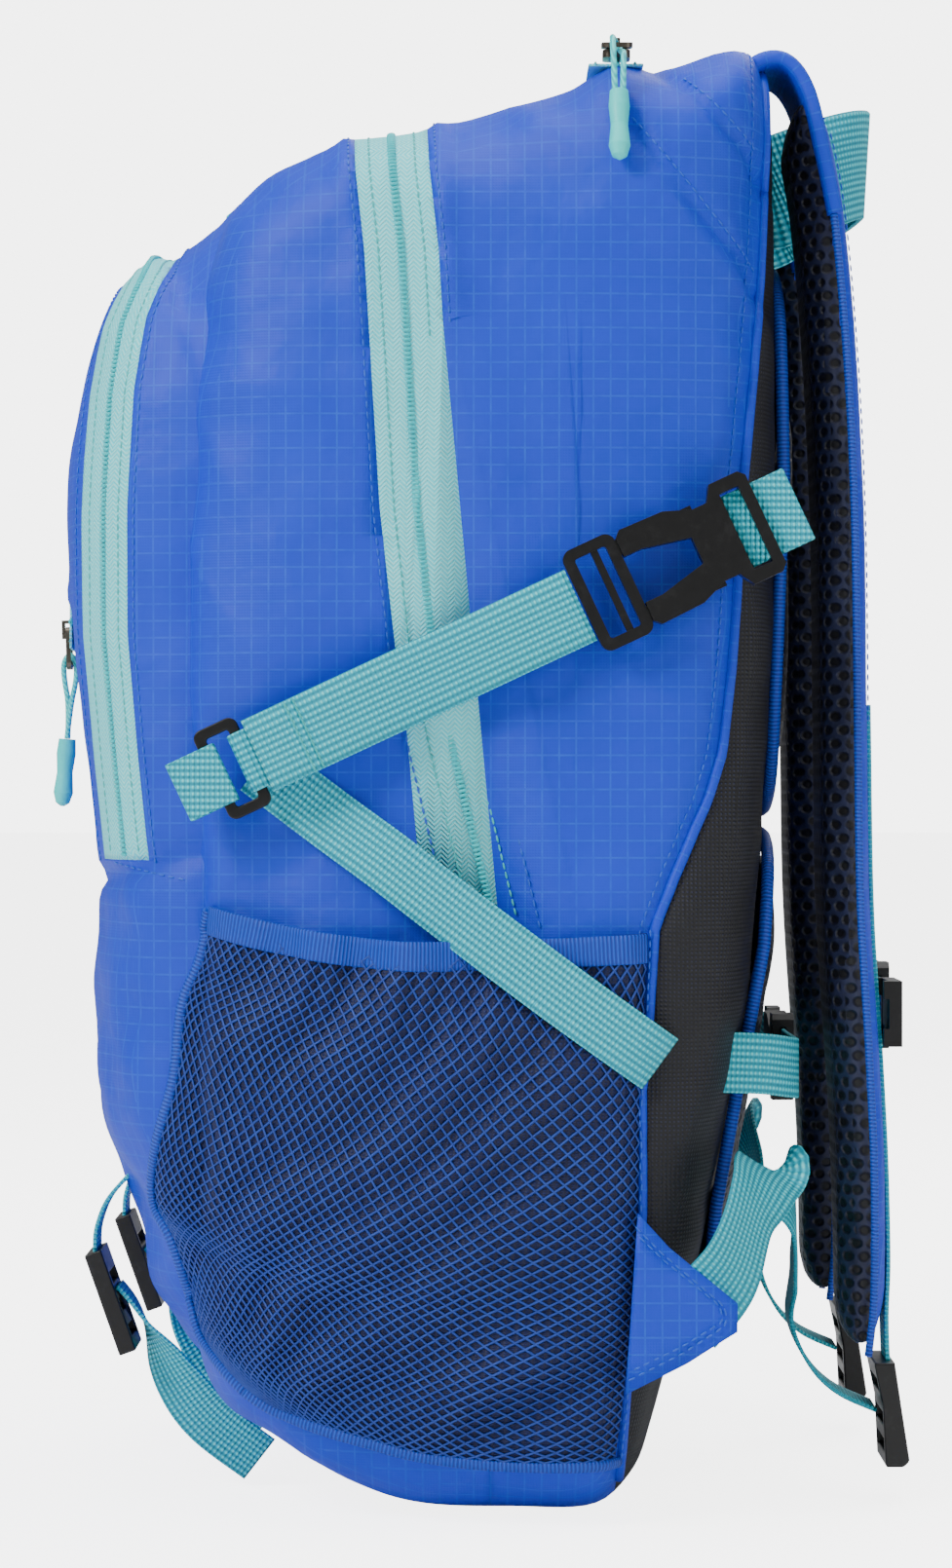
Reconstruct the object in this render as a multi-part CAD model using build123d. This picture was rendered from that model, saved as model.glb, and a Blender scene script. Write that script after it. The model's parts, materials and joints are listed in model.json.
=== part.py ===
from build123d import *
import math
import os

# ---------------------------------------------------------------- driving sizes, mm
# +X is the wearer's side, -Y the front with the pockets, +Y the harness, +Z up.
BODY_WIDTH = 300.0
BODY_HEIGHT = 487.0
BODY_DEPTH = 183.0          # crease behind the front pocket to the back panel
POCKET_WIDTH = 244.0
POCKET_DEPTH = 58.0         # how far the front pocket stands out of the crease
WALL = 2.5                  # shell fabric with its lining
SIDE_ROUND = 46.0           # front view corner radius
PLAN_ROUND = 40.0           # plan view corner radius
PANEL_STRIP = 48.0          # how much of each side of the shell belongs to the side panel

TAPE = 0.9                  # zip tape over the shell
COIL = 1.1                  # coil over the tape
MAIN_ZIP_WIDTH = 26.0
POCKET_ZIP_WIDTH = 22.0
COIL_WIDTH = 7.0
SHORT_ZIP_WIDTH = 18.0

WEB = 25.0                  # strap webbing
SMALL_WEB = 20.0
WEB_THICK = 1.4
HAUL_WEB = 38.0
GAP = 0.4                   # clearance between pieces that move or pass each other
LEG_SEAT = 3.0              # lower compression leg over the side panel
RING_BAR = 3.6
RING_LONG = 31.0
RING_SHORT = 15.0
MALE_TRAVEL = 26.0
BUCKLE_THICK = 9.0

STRAP_X = 80.0              # shoulder strap centre from the middle
STRAP_WIDTH = 66.0
STRAP_THICK = 13.0

MESH_WALL = 1.6
POCKET_BULGE = 18.0
BACK_PAD = 7.0
FRAME_SHEET = 1.5

PULL_CORD = 2.0
GRIP_LENGTH = 24.0
GRIP_DIA = 7.0

HALF = BODY_WIDTH / 2
STRETCH_Y = BODY_DEPTH / 183.0
STRETCH_Z = BODY_HEIGHT / 487.0
CREASE_Y = -84.0
FRONT_STRETCH = POCKET_DEPTH / 58.0


def place(y, z):
    """A place on the side view, moved with the overall depth and height."""
    if y < CREASE_Y:
        return (CREASE_Y * STRETCH_Y + (y - CREASE_Y) * FRONT_STRETCH, z * STRETCH_Z)
    return (y * STRETCH_Y, z * STRETCH_Z)


def side_face(points, radii=None, grow=0.0):
    """A closed face in the YZ plane at X = 0."""
    corners = [(0, y, z) for y, z in points]
    if radii is None:
        wire = Polyline(*corners, close=True)
    else:
        wire = FilletPolyline(*corners, radius=radii, close=True)
    face = make_face(wire)
    if grow:
        face = offset(face, amount=grow, kind=Kind.INTERSECTION)
    return face


def side_block(points, x_from, x_to, radii=None, grow=0.0):
    """A YZ outline pushed through from one X to another."""
    face = Pos(x_from, 0, 0) * side_face(points, radii, grow)
    return extrude(face, amount=x_to - x_from, dir=(1, 0, 0))


def box(x_from, x_to, y_from, y_to, z_from, z_to):
    centre = Pos((x_from + x_to) / 2, (y_from + y_to) / 2, (z_from + z_to) / 2)
    return centre * Box(x_to - x_from, y_to - y_from, z_to - z_from)


def mirrored(shape):
    return mirror(shape, about=Plane.YZ)


def both_sides(shape):
    return Compound(children=[*shape.solids(), *mirrored(shape).solids()])


def strip(points, thick):
    """The closed outline of a strap seen edge on: a line of points given a thickness."""
    left = []
    right = []
    last = len(points) - 1
    for i, (y, z) in enumerate(points):
        y0, z0 = points[max(i - 1, 0)]
        y1, z1 = points[min(i + 1, last)]
        before = Vector(y - y0, z - z0) if i else Vector(y1 - y, z1 - z)
        after = Vector(y1 - y, z1 - z) if i < last else before
        normal = (before.normalized() + after.normalized()).normalized()
        spread = thick / 2 / max(math.cos(math.radians(before.get_angle(after)) / 2), 0.5)
        left.append((y - normal.Y * spread, z + normal.X * spread))
        right.append((y + normal.Y * spread, z - normal.X * spread))
    return left + right[::-1]


def web_band(start, end, width):
    """The four corners of a flat web from start to end, in the side view."""
    along = Vector(end[0] - start[0], end[1] - start[1]).normalized()
    across = Vector(-along.Y, along.X) * (width / 2)
    return [
        (start[0] + across.X, start[1] + across.Y),
        (end[0] + across.X, end[1] + across.Y),
        (end[0] - across.X, end[1] - across.Y),
        (start[0] - across.X, start[1] - across.Y),
    ]


# ---------------------------------------------------------------- body shells
MAIN_OUTLINE = [
    place(-84, 27), place(-26, 0), place(40, 0), place(60, 42), place(88, 190),
    place(99, 300), place(98, 430), place(92, 483), place(62, 480), place(-20, 459), place(-84, 438),
]
MAIN_RADII = [20, 60, 14, 60, 120, 200, 120, 6, 60, 120, 20]
FRONT_OUTLINE = [
    place(-60, 29), place(-88, 34), place(-114, 74), place(-134, 140), place(-133, 215),
    place(-142, 325), place(-138, 388), place(-118, 422), place(-60, 430),
]
FRONT_RADII = [4, 20, 60, 100, 200, 120, 30, 20, 4]


def rounded_block(outline, radii, half, front_round, plan_round, y_span, z_span, grow):
    """Side outline, front view and plan view cut from one another: a soft-cornered bag."""
    side = side_block(outline, -half - grow, half + grow, radii, grow)
    wide = 2 * (half + grow)
    y_mid = (y_span[0] + y_span[1]) / 2
    z_mid = (z_span[0] + z_span[1]) / 2
    y_long = y_span[1] - y_span[0] + 2 * grow
    z_long = z_span[1] - z_span[0] + 2 * grow
    front_face = Plane.XZ * RectangleRounded(wide, z_long, front_round + grow)
    front = extrude(Pos(0, y_mid, z_mid) * front_face, amount=y_long, both=True)
    plan_face = RectangleRounded(wide, y_long, plan_round + grow)
    plan = extrude(Pos(0, y_mid, z_mid) * plan_face, amount=z_long, both=True)
    return side & front & plan


def main_block(grow):
    y_span = (-84 * STRETCH_Y, 99 * STRETCH_Y)
    z_span = (0, BODY_HEIGHT - 2)
    return rounded_block(MAIN_OUTLINE, MAIN_RADII, HALF, SIDE_ROUND, PLAN_ROUND, y_span, z_span, grow)


def front_block(grow):
    low = place(-142, 30)
    y_span = (low[0], 90 * STRETCH_Y)
    z_span = (low[1], place(0, 424)[1])
    half = POCKET_WIDTH / 2
    return rounded_block(FRONT_OUTLINE, FRONT_RADII, half, SIDE_ROUND, PLAN_ROUND, y_span, z_span, grow)


MAIN_OUT = main_block(0)
MAIN_IN = main_block(-WALL)
FRONT_OUT = front_block(0) - MAIN_OUT
FRONT_IN = front_block(-WALL)

BACK_SEAM = [
    place(92, 500), place(91, 403), place(85, 337), place(78, 251), place(68, 220), place(54, 190),
    place(51, 142), place(49, 71), place(43, 18), place(43, -5), place(130, -5), place(130, 500),
]


def shell_panels():
    """Two side panels, the band that joins them and the dark back panel behind the back seam."""
    shell = MAIN_OUT - MAIN_IN
    inner = HALF - PANEL_STRIP
    high = BODY_HEIGHT + 50
    far = 400
    back_zone = side_block(BACK_SEAM, -far, far)
    back = shell & back_zone
    blue = shell - back_zone
    right = blue & box(inner, far, -far, far, -50, high)
    band = blue & box(-inner, inner, -far, far, -50, high)
    return {
        "side_panel_right": right,
        "side_panel_left": mirrored(right),
        "main_gusset": band,
        "back_panel": back,
    }


def front_pocket():
    """The pocket shell in front of the crease, open at the back where the gusset closes it."""
    return FRONT_OUT - FRONT_IN


# ---------------------------------------------------------------- inside
def frame_sheet():
    line = [place(94 - WALL, 440), place(94 - WALL, 300), place(83 - WALL, 190), place(60 - WALL, 60)]
    line = [(y - FRAME_SHEET, z) for y, z in line]
    half = HALF - PANEL_STRIP
    return side_block(strip(line, FRAME_SHEET), -half, half)


def hydration_sleeve():
    line = [place(84, 400), place(84, 300), place(72, 190), place(52, 90)]
    half = HALF - PANEL_STRIP - 12
    return side_block(strip(line, 1.2), -half, half)


# ---------------------------------------------------------------- back padding
def back_foam():
    """The back pad: two foam blocks in one cover, with a channel between them."""
    gap = GAP
    line = [place(98, 422), place(100.5, 395), place(100.5, 300), place(97, 246), place(95, 232)]
    line = [(y + BACK_PAD / 2 + gap, z) for y, z in line]
    half = HALF - PANEL_STRIP
    pad = side_block(strip(line, BACK_PAD), -half, half)
    channel = box(-9, 9, line[0][0] - BACK_PAD, line[2][0] + 1.5, 0, BODY_HEIGHT)
    keep = box(-9, 9, 0, 98 * STRETCH_Y + gap + 3, 0, BODY_HEIGHT)
    return pad - (channel - keep)


def lumbar_pad():
    outer = [
        place(95, 224), place(104, 213), place(105, 196), place(92, 143), place(81, 105),
        place(69, 60), place(66, 60), place(77, 118), place(90, 185),
    ]
    return side_block(outer, -HALF + 42, HALF - 42)


# ---------------------------------------------------------------- zips
def skin(block, low, high, zone):
    """A layer of the given heights over a body, kept only inside a zone."""
    return (block(high) - block(low)) & zone


MAIN_ZIP_LINE = [
    place(-30, 520), place(-30, 456), place(-26, 330), place(-18, 270), place(-6, 225), place(4, 196),
]
POCKET_ZIP_LINE = [
    place(-112, 470), place(-112, 418), place(-123, 385),
    place(-126, 330), place(-122, 260), place(-115, 217),
]


def zip_zone(line, width, half):
    return side_block(strip(line, width), -half, half)


def main_zip():
    far = HALF + 20
    tape = skin(main_block, 0, TAPE, zip_zone(MAIN_ZIP_LINE, MAIN_ZIP_WIDTH, far))
    coil = skin(main_block, TAPE, TAPE + COIL, zip_zone(MAIN_ZIP_LINE, COIL_WIDTH, far))
    return tape + coil


def pocket_zip():
    far = HALF + 20
    outer = main_block(TAPE + COIL + 1)
    tape = skin(front_block, 0, TAPE, zip_zone(POCKET_ZIP_LINE, POCKET_ZIP_WIDTH, far))
    coil = skin(front_block, TAPE, TAPE + COIL, zip_zone(POCKET_ZIP_LINE, COIL_WIDTH, far))
    return (tape + coil) - outer


REAR_ZIP_Y = 44.0
REAR_ZIP_HALF = HALF - 24
FRONT_ZIP_Z = 296.0
FRONT_ZIP_HALF = 74.0


def rear_zip():
    y = place(REAR_ZIP_Y, 0)[0]
    half = SHORT_ZIP_WIDTH / 2
    top = BODY_HEIGHT + 30
    reach = REAR_ZIP_HALF
    tape = skin(main_block, 0, TAPE, box(-reach, reach, y - half, y + half, top - 90, top))
    line = COIL_WIDTH / 2
    coil = skin(main_block, TAPE, TAPE + COIL, box(-reach, reach, y - line, y + line, top - 90, top))
    return tape + coil


def front_zip():
    z = place(0, FRONT_ZIP_Z)[1]
    half = SHORT_ZIP_WIDTH / 2
    front = place(-160, 0)[0]
    reach = FRONT_ZIP_HALF
    tape = skin(front_block, 0, TAPE, box(-reach, reach, front, front + 50, z - half, z + half))
    line = COIL_WIDTH / 2
    coil = skin(front_block, TAPE, TAPE + COIL, box(-reach, reach, front, front + 50, z - line, z + line))
    return tape + coil


def short_zips():
    return Compound(children=[*rear_zip().solids(), *front_zip().solids()])


# ---------------------------------------------------------------- side pockets and tabs
MESH_OUTLINE = [
    place(-84, 196), place(-50, 191), place(50, 189), place(50, 140), place(47, 71), place(43, 26),
    place(-20, 26), place(-58, 38), place(-84, 56), place(-98, 84), place(-98, 110), place(-88, 150),
]


def mesh_pocket():
    """The right mesh pocket: flat under its elastic hem, bulging below, open towards the panel."""
    seat = HALF + GAP
    flat = seat + 2.0
    low = place(0, 24)[1]
    levels = [place(0, 120)[1], place(0, 84)[1], place(0, 52)[1]]
    top = place(0, 200)[1]

    def profile(points):
        """An XZ outline pushed across the whole depth."""
        face = make_face(Polyline(*[(x, -300, z) for x, z in points], close=True))
        return extrude(face, amount=600, dir=(0, 1, 0))

    bulge = seat + POCKET_BULGE
    outside = profile([
        (seat, top), (flat, top), (flat, levels[0]), (bulge, levels[1]), (bulge, levels[2]),
        (flat, low + 2), (seat, low + 2),
    ])
    inside = profile([
        (seat - 5, levels[0] - 4), (flat - MESH_WALL, levels[0] - 4), (bulge - MESH_WALL, levels[1] - 1),
        (bulge - MESH_WALL, levels[2] + 1), (flat - MESH_WALL, low + 8), (seat - 5, low + 8),
    ])
    outline = side_block(MESH_OUTLINE, seat, seat + 60)
    hollow = side_block(MESH_OUTLINE, seat - 5, seat + 60, None, -6.0)
    return (outline & outside) - (hollow & inside)


def side_tab():
    """The triangular tab that anchors the lower webbing."""
    x = HALF + GAP
    outline = [place(53, 104), place(60, 92), place(81, 73), place(81, 66), place(50, 44)]
    return side_block(outline, x, x + 2.4)


# ---------------------------------------------------------------- compression straps
RING_AT = place(-80, 246)
FEMALE_AT = place(74, 318)
STRAP_ANGLE = math.degrees(math.atan2(FEMALE_AT[1] - RING_AT[1], FEMALE_AT[0] - RING_AT[0]))
STRAP_LONG = math.dist(RING_AT, FEMALE_AT)
LEG_X = HALF + LEG_SEAT
RING_X = LEG_X + WEB_THICK + GAP
STANDING_X = RING_X + RING_BAR + GAP
TAIL_X = STANDING_X + WEB_THICK + GAP
BUCKLE_X = TAIL_X - WEB_THICK + 1.0


def strap_frame(along, x=0.0):
    """Local frame on the strap line: x along the strap, y across it, z out of the panel."""
    turn = math.radians(STRAP_ANGLE)
    y = RING_AT[0] + along * math.cos(turn)
    z = RING_AT[1] + along * math.sin(turn)
    plane = Plane(
        origin=(x, y, z), x_dir=(0, math.cos(turn), math.sin(turn)), z_dir=(1, 0, 0)
    )
    return Location(plane)


def prism(points, z_from, z_to):
    """An outline in a local XY plane pushed from one height to another."""
    face = make_face(Polyline(*[(x, y) for x, y in points], close=True))
    return extrude(Pos(0, 0, z_from) * face, amount=z_to - z_from, dir=(0, 0, 1))


def plate(x_long, y_long, thick, corner):
    return extrude(RectangleRounded(x_long, y_long, corner), amount=thick / 2, both=True)


def rect_ring(x_long, y_long, bar, thick, corner=3.0):
    hole = plate(x_long - 2 * bar, y_long - 2 * bar, thick + 2, 1.0)
    return plate(x_long, y_long, thick, corner) - hole


MALE_FRAME = 18.0           # adjuster frame of the male half, along the strap
FEMALE_LONG = 46.0


def buckle_female(web, thick):
    """Female half; the mouth faces -x at x = 0, the web bar is at the +x end."""
    wide = web + 8
    arm = 8.5
    root = 22.0
    end = FEMALE_LONG
    outline = [
        (0, wide / 2 - 2), (2, wide / 2), (17, wide / 2 - 0.5), (26, wide / 2 - 4.0), (31, wide / 2 - 4.0),
        (34, wide / 2 + 1), (end - 2, wide / 2 + 1), (end, wide / 2 - 1),
    ]
    mirror_line = [(x, -y) for x, y in reversed(outline)]
    body = prism(outline + mirror_line, -thick / 2, thick / 2)
    mouth = [(-1, wide / 2 - arm), (6, wide / 2 - arm), (root, 4.5), (root, -4.5)]
    mouth += [(6, -wide / 2 + arm), (-1, -wide / 2 + arm)]
    body -= prism(mouth, -thick, thick)
    slot = Pos(end - 7, 0, 0) * Box(6.5, web + 1.5, thick * 2)
    body -= slot
    for side in (1, -1):
        sleeve = Pos(9.5, side * (wide / 2 - arm / 2 - 0.6), 0) * Box(21.0, arm - 2.6, thick - 3.4)
        window = Pos(22.0, side * (wide / 2 - 2.6), 0) * Box(9.0, 8.0, thick - 3.4)
        body -= sleeve
        body -= window
    return body


def buckle_male(web, thick):
    """Male half; its shoulder meets the mouth at x = 0 and the adjuster frame lies at -x."""
    wide = web + 8
    arm = 8.5
    frame_thick = thick * 0.62
    frame = Pos(-GAP - MALE_FRAME / 2, 0, 0) * rect_ring(MALE_FRAME, wide + 2, RING_BAR, frame_thick, 3.5)
    bar = Pos(-GAP - MALE_FRAME * 0.42, 0, 0) * Box(2.4, wide - 2, frame_thick * 0.6)
    male = frame + bar
    prong_thick = thick - 3.4 - 2 * GAP
    for side in (1, -1):
        y = side * (wide / 2 - arm / 2 - 0.6)
        prong = Pos(8.6, y, 0) * Box(20.0, arm - 2.6 - 2 * GAP, prong_thick)
        barb = Pos(22.0, side * (wide / 2 - 4.3), 0) * Box(8.0, 3.8, prong_thick)
        male += prong + barb
    return male


FRAME_END = STRAP_LONG - 28.0    # mouth of the female half along the strap line


def compression_ring():
    ring = rect_ring(RING_SHORT, RING_LONG, RING_BAR, RING_BAR, 3.0)
    return strap_frame(0, RING_X + RING_BAR / 2) * ring


def front_anchor_web():
    """The 20 mm web that holds the ring: two layers round the ring's front bar."""
    bar_at = -RING_SHORT / 2 + RING_BAR / 2
    reach = 17.0
    inner = RING_BAR + 2 * GAP
    loop = Box(reach, SMALL_WEB, inner + 2 * WEB_THICK) - Pos(-WEB_THICK, 0, 0) * Box(
        reach, SMALL_WEB + 2, inner
    )
    return strap_frame(bar_at + RING_BAR / 2 + GAP + WEB_THICK - reach / 2, RING_X + RING_BAR / 2) * loop


def leg_web():
    """Web turned round the ring's rear bar: a short standing part over it and the long leg under it."""
    bar_at = RING_SHORT / 2 - RING_BAR / 2
    inner = RING_BAR + 2 * GAP
    turn_at = bar_at - RING_BAR / 2 - GAP - WEB_THICK
    loop = Box(11.0, SMALL_WEB, inner + 2 * WEB_THICK)
    loop = loop - Pos(WEB_THICK, 0, 0) * Box(11.0, SMALL_WEB + 2, inner)
    turn = strap_frame(turn_at + 5.5, RING_X + RING_BAR / 2) * loop
    start = (RING_AT[0] + 10, RING_AT[1] - 2)
    end = place(58, 150)
    leg = side_block(web_band(start, end, SMALL_WEB), LEG_X, LEG_X + WEB_THICK)
    return turn + leg


def rear_anchor_web():
    """Web from the back seam through the bar slot of the female half."""
    start = FRAME_END + FEMALE_LONG - 10.0
    reach = 22.0
    mid = strap_frame(start + reach / 2, BUCKLE_X)
    return mid * Box(reach, WEB, WEB_THICK)


def rear_anchor_fit():
    """The slot bar's own room: the web passes over the bar, so the bar is cut down beneath it."""
    start = FRAME_END + FEMALE_LONG - 11.0
    mid = strap_frame(start + 20, BUCKLE_X)
    return mid * Box(40.0, WEB + 1.0, WEB_THICK + 2 * GAP)


def compression_female():
    return strap_frame(FRAME_END, BUCKLE_X) * buckle_female(WEB, BUCKLE_THICK) - rear_anchor_fit()


def compression_male():
    return strap_frame(FRAME_END, BUCKLE_X) * buckle_male(WEB, BUCKLE_THICK)


def compression_tail():
    """Tail web over a standing stub, both from the adjuster frame down towards the ring."""
    end = FRAME_END - GAP - MALE_FRAME - GAP
    tail_from = 9.0
    stub_from = RING_SHORT / 2 + 8.0 + MALE_TRAVEL
    tail = strap_frame((tail_from + end) / 2, TAIL_X + WEB_THICK / 2) * Box(end - tail_from, WEB, WEB_THICK)
    stub = strap_frame((stub_from + end) / 2, STANDING_X + WEB_THICK / 2)
    stub = stub * Box(end - stub_from, WEB, WEB_THICK)
    stitch = strap_frame(end - 2.0, STANDING_X + WEB_THICK) * Box(4.0, WEB, 2 * WEB_THICK + GAP)
    return tail + stub + stitch


# ---------------------------------------------------------------- haul loop
HAUL_HINGE = place(99, 446)
HAUL_HALF = 34.0
HAUL_RISE = 36.0


def half_round(half, rise, y, z, tall):
    arc = ThreePointArc((-half, 0), (0, rise), (half, 0))
    face = make_face(arc + Line((half, 0), (-half, 0)))
    return Pos(0, y, z) * extrude(face, amount=tall, both=True)


def haul_loop():
    """Arched webbing loop, gathered to narrow ends at the back seam."""
    y, z = HAUL_HINGE
    half = HAUL_WEB / 2
    thick = 2.0
    outer = half_round(HAUL_HALF, HAUL_RISE, y, z, half)
    inner = half_round(HAUL_HALF - thick, HAUL_RISE - thick, y, z, HAUL_WEB)
    gathered = [
        (y + 2, z - 3), (y + 2, z + 3), (y + 11, z + half), (y + 60, z + half),
        (y + 60, z - half), (y + 11, z - half),
    ]
    return (outer - inner) & side_block(gathered, -HAUL_HALF - 5, HAUL_HALF + 5)


# ---------------------------------------------------------------- shoulder straps
STRAP_TOP = place(98, 478)
STRAP_LINE = [
    place(107, 476), place(114, 440), place(119, 390), place(122, 330), place(122, 260), place(123, 200),
    place(127, 150), place(129, 110), place(129, 64), place(127, 50),
]


def strap_outline(shift, thick, first=0, last=None):
    line = [(y + shift, z) for y, z in STRAP_LINE[first:last]]
    return strip(line, thick)


def shoulder_strap():
    """Padded strap, tapered towards its ends in the back view."""
    half = STRAP_WIDTH / 2
    block = side_block(strap_outline(0, STRAP_THICK), STRAP_X - half, STRAP_X + half)
    high = STRAP_TOP[1]
    low = STRAP_LINE[-1][1]
    taper = [
        (STRAP_X - half + 6, high + 20), (STRAP_X - half, high - 110), (STRAP_X - half, low + 90),
        (STRAP_X - 16, low - 20), (STRAP_X + 16, low - 20), (STRAP_X + half, low + 90),
        (STRAP_X + half, high - 110), (STRAP_X + half - 6, high + 20),
    ]
    face = make_face(Polyline(*[(x, 0, z) for x, z in taper], close=True))
    cutter = extrude(Pos(0, -300, 0) * face, amount=900, dir=(0, 1, 0))
    return block & cutter


def strap_web():
    """Webbing rail on the strap's outer face, carried into the ladder lock."""
    half = SMALL_WEB / 2
    shift = STRAP_THICK / 2 + GAP + WEB_THICK / 2
    return side_block(strap_outline(shift, WEB_THICK, 4), STRAP_X - half, STRAP_X + half)


LOCK_DROP = 20.0             # lock centre under the strap's end
LOCK_AT = (STRAP_LINE[-1][0] + LOCK_DROP / 2, STRAP_LINE[-1][1] - LOCK_DROP)
LOCK_TALL = 35.0


def ladder_lock():
    """Waisted three-bar lock that hangs under the strap's end, seen edge on from the side."""
    y, z = LOCK_AT
    outline = [
        (y - 6, z + LOCK_TALL / 2), (y + 1, z + LOCK_TALL / 2),
        (y + 3, z + 4), (y + 6, z - LOCK_TALL / 2 + 2),
        (y + 4, z - LOCK_TALL / 2), (y - 2, z - LOCK_TALL / 2), (y - 3, z + 3),
    ]
    half = WEB / 2 + 4
    lock = side_block(outline, STRAP_X - half, STRAP_X + half)
    for dz in (9.0, -2.0, -11.0):
        side = WEB / 2 + 0.6
        slot = box(STRAP_X - side, STRAP_X + side, y - 20, y + 20, z + dz - 2.2, z + dz + 2.2)
        lock -= slot
    return lock


def lower_web():
    """Slack webbing from the tab up over an arch and down to just short of the ladder lock."""
    line = [
        place(82, 78), place(88, 104), place(96, 112), place(104, 104), place(108, 84), place(107, 62),
        place(110, 46), place(118, 36), place(127, 31),
    ]
    outer = STRAP_X + WEB / 2
    run = side_block(strip(line, WEB_THICK), outer - WEB, outer)
    high = place(82, 103)[1]
    edge = WEB_THICK / 2
    link = box(outer - 1, HALF, line[0][0] - edge, line[0][0] + edge, high - WEB, high)
    return run + link


# ---------------------------------------------------------------- sternum strap
STERNUM_AT = place(124.5, 164)


def rail_y():
    return STRAP_LINE[6][0] - 1.0 + STRAP_THICK / 2 + GAP + WEB_THICK / 2


def sternum_slider():
    """Clip that rides on the strap's rail."""
    y = rail_y() + 1.0
    z = STERNUM_AT[1]
    tall = 22.0
    half = SMALL_WEB / 2 + 5
    body = box(STRAP_X - half, STRAP_X + half, y + 1.6, y + 6.0, z - tall / 2, z + tall / 2)
    for dz in (tall / 2 - 3, -tall / 2 + 3):
        body += box(STRAP_X - half, STRAP_X - half + 3.4, y - 0.2, y + 2, z + dz - 3, z + dz + 3)
        body += box(STRAP_X + half - 3.4, STRAP_X + half, y - 0.2, y + 2, z + dz - 3, z + dz + 3)
    reach = SMALL_WEB / 2 + 0.5
    slot = box(STRAP_X - half + 2.5, STRAP_X - half + 6, y, y + 20, z - reach, z + reach)
    return body - slot


STERNUM_GAP = 38.0


def sternum_web():
    """Web from the slider's slot towards the middle."""
    y = rail_y() + 3.6
    z = STERNUM_AT[1]
    half = SMALL_WEB / 2
    inner = STRAP_X - half - 5
    return box(STERNUM_GAP, inner - GAP, y, y + WEB_THICK, z - half, z + half)


def sternum_frame(x):
    y = rail_y() + 3.6 + WEB_THICK / 2
    plane = Plane(origin=(x, y, STERNUM_AT[1]), x_dir=(1, 0, 0), z_dir=(0, 1, 0))
    return Location(plane)


def buckle_web_room(reach):
    return Pos(reach, 0, 0) * Box(30.0, SMALL_WEB + 1.0, WEB_THICK + 2 * GAP)


SMALL_BUCKLE = 7.5


def sternum_female():
    female = buckle_female(SMALL_WEB, SMALL_BUCKLE)
    female -= buckle_web_room(FEMALE_LONG)
    return sternum_frame(-8.0) * female


def sternum_male():
    male = buckle_male(SMALL_WEB, SMALL_BUCKLE)
    male -= buckle_web_room(-MALE_FRAME)
    return sternum_frame(-8.0) * male


# ---------------------------------------------------------------- waist belt
WAIST_AT = place(0, 146)
WAIST_Y = place(104, 0)[0]


def waist_web():
    """One half of the belt, from the tab out to a slack fold and in to the middle of the back."""
    y = WAIST_Y
    z = WAIST_AT[1]
    half = SMALL_WEB / 2
    return box(STERNUM_GAP, HALF - 36, y, y + WEB_THICK, z - half, z + half)


def waist_frame(x):
    plane = Plane(origin=(x, WAIST_Y + WEB_THICK / 2, WAIST_AT[1]), x_dir=(1, 0, 0), z_dir=(0, 1, 0))
    return Location(plane)


def waist_female():
    female = buckle_female(SMALL_WEB, SMALL_BUCKLE)
    female -= buckle_web_room(FEMALE_LONG)
    return waist_frame(-8.0) * female


def waist_male():
    male = buckle_male(SMALL_WEB, SMALL_BUCKLE)
    male -= buckle_web_room(-MALE_FRAME)
    return waist_frame(-8.0) * male


# ---------------------------------------------------------------- accessory straps at the front foot
ACCESSORY_X = 62.0
ACCESSORY_AT = place(-126, 65)   # lock centre, which its webs follow


def accessory_web():
    """The short anchor over the lock and the long tail below it, on one side."""
    y, z = ACCESSORY_AT
    anchor = strip([place(-124.5, 102), (y - 3, z + 27), (y - 5, z + 19)], WEB_THICK)
    low_end = [place(-97, 32), place(-86, 16), place(-72, 4)]
    tail = strip([(y + 10, z - 1), (y + 18, z - 17), *low_end], WEB_THICK)
    near = ACCESSORY_X - SMALL_WEB / 2
    return Compound(children=[side_block(line, near, near + SMALL_WEB) for line in (anchor, tail)])


def accessory_lock():
    centre = ACCESSORY_AT
    half = SMALL_WEB / 2 + 3.5
    outline = web_band((centre[0] - 6, centre[1] + 17), (centre[0] + 6, centre[1] - 17), 6.0)
    lock = side_block(outline, ACCESSORY_X - half, ACCESSORY_X + half)
    inner = SMALL_WEB / 2 + 0.6
    for dz in (8.0, -1.0, -10.0):
        y, z = centre
        lock -= box(ACCESSORY_X - inner, ACCESSORY_X + inner, y - 30, y + 30, z + dz - 2.0, z + dz + 2.0)
    return lock


# ---------------------------------------------------------------- zip sliders and pulls
PULL_SEAT = TAPE + COIL + GAP
SLIDER_TALL = 3.0
HINGE_HIGH = PULL_SEAT + SLIDER_TALL + 1.5      # pull hinge over the shell
RING_REACH = 15.0
RING_WIRE = 1.6
RING_HALF = 5.0
GRIP_GAP = 0.1
REAR_SLIDER_INSET = 28.0


def pull_frame(at, hang, out):
    """Local frame at the pull's hinge: x the way the pull hangs, z out of the fabric."""
    x_dir = Vector(*hang).normalized()
    z_dir = Vector(*out)
    z_dir = (z_dir - x_dir * z_dir.dot(x_dir)).normalized()
    return Location(Plane(origin=at, x_dir=x_dir, z_dir=z_dir))


def zip_slider(turned):
    """Slider body with its bridge; turned when the pull hangs across the zip."""
    body = Box(11.5, 9.0, SLIDER_TALL - 0.4)
    body = fillet(body.edges().filter_by(Axis.Z), 2.4)
    body = Pos(0, 0, -1.5 - SLIDER_TALL / 2) * body
    if turned:
        body = Rot(0, 0, 90) * body
    bridge = Pos(0, 0, -0.1) * Box(6.6, 2.4, 5.0) - Box(4.4, 6.0, 2.6)
    return body + bridge


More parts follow.
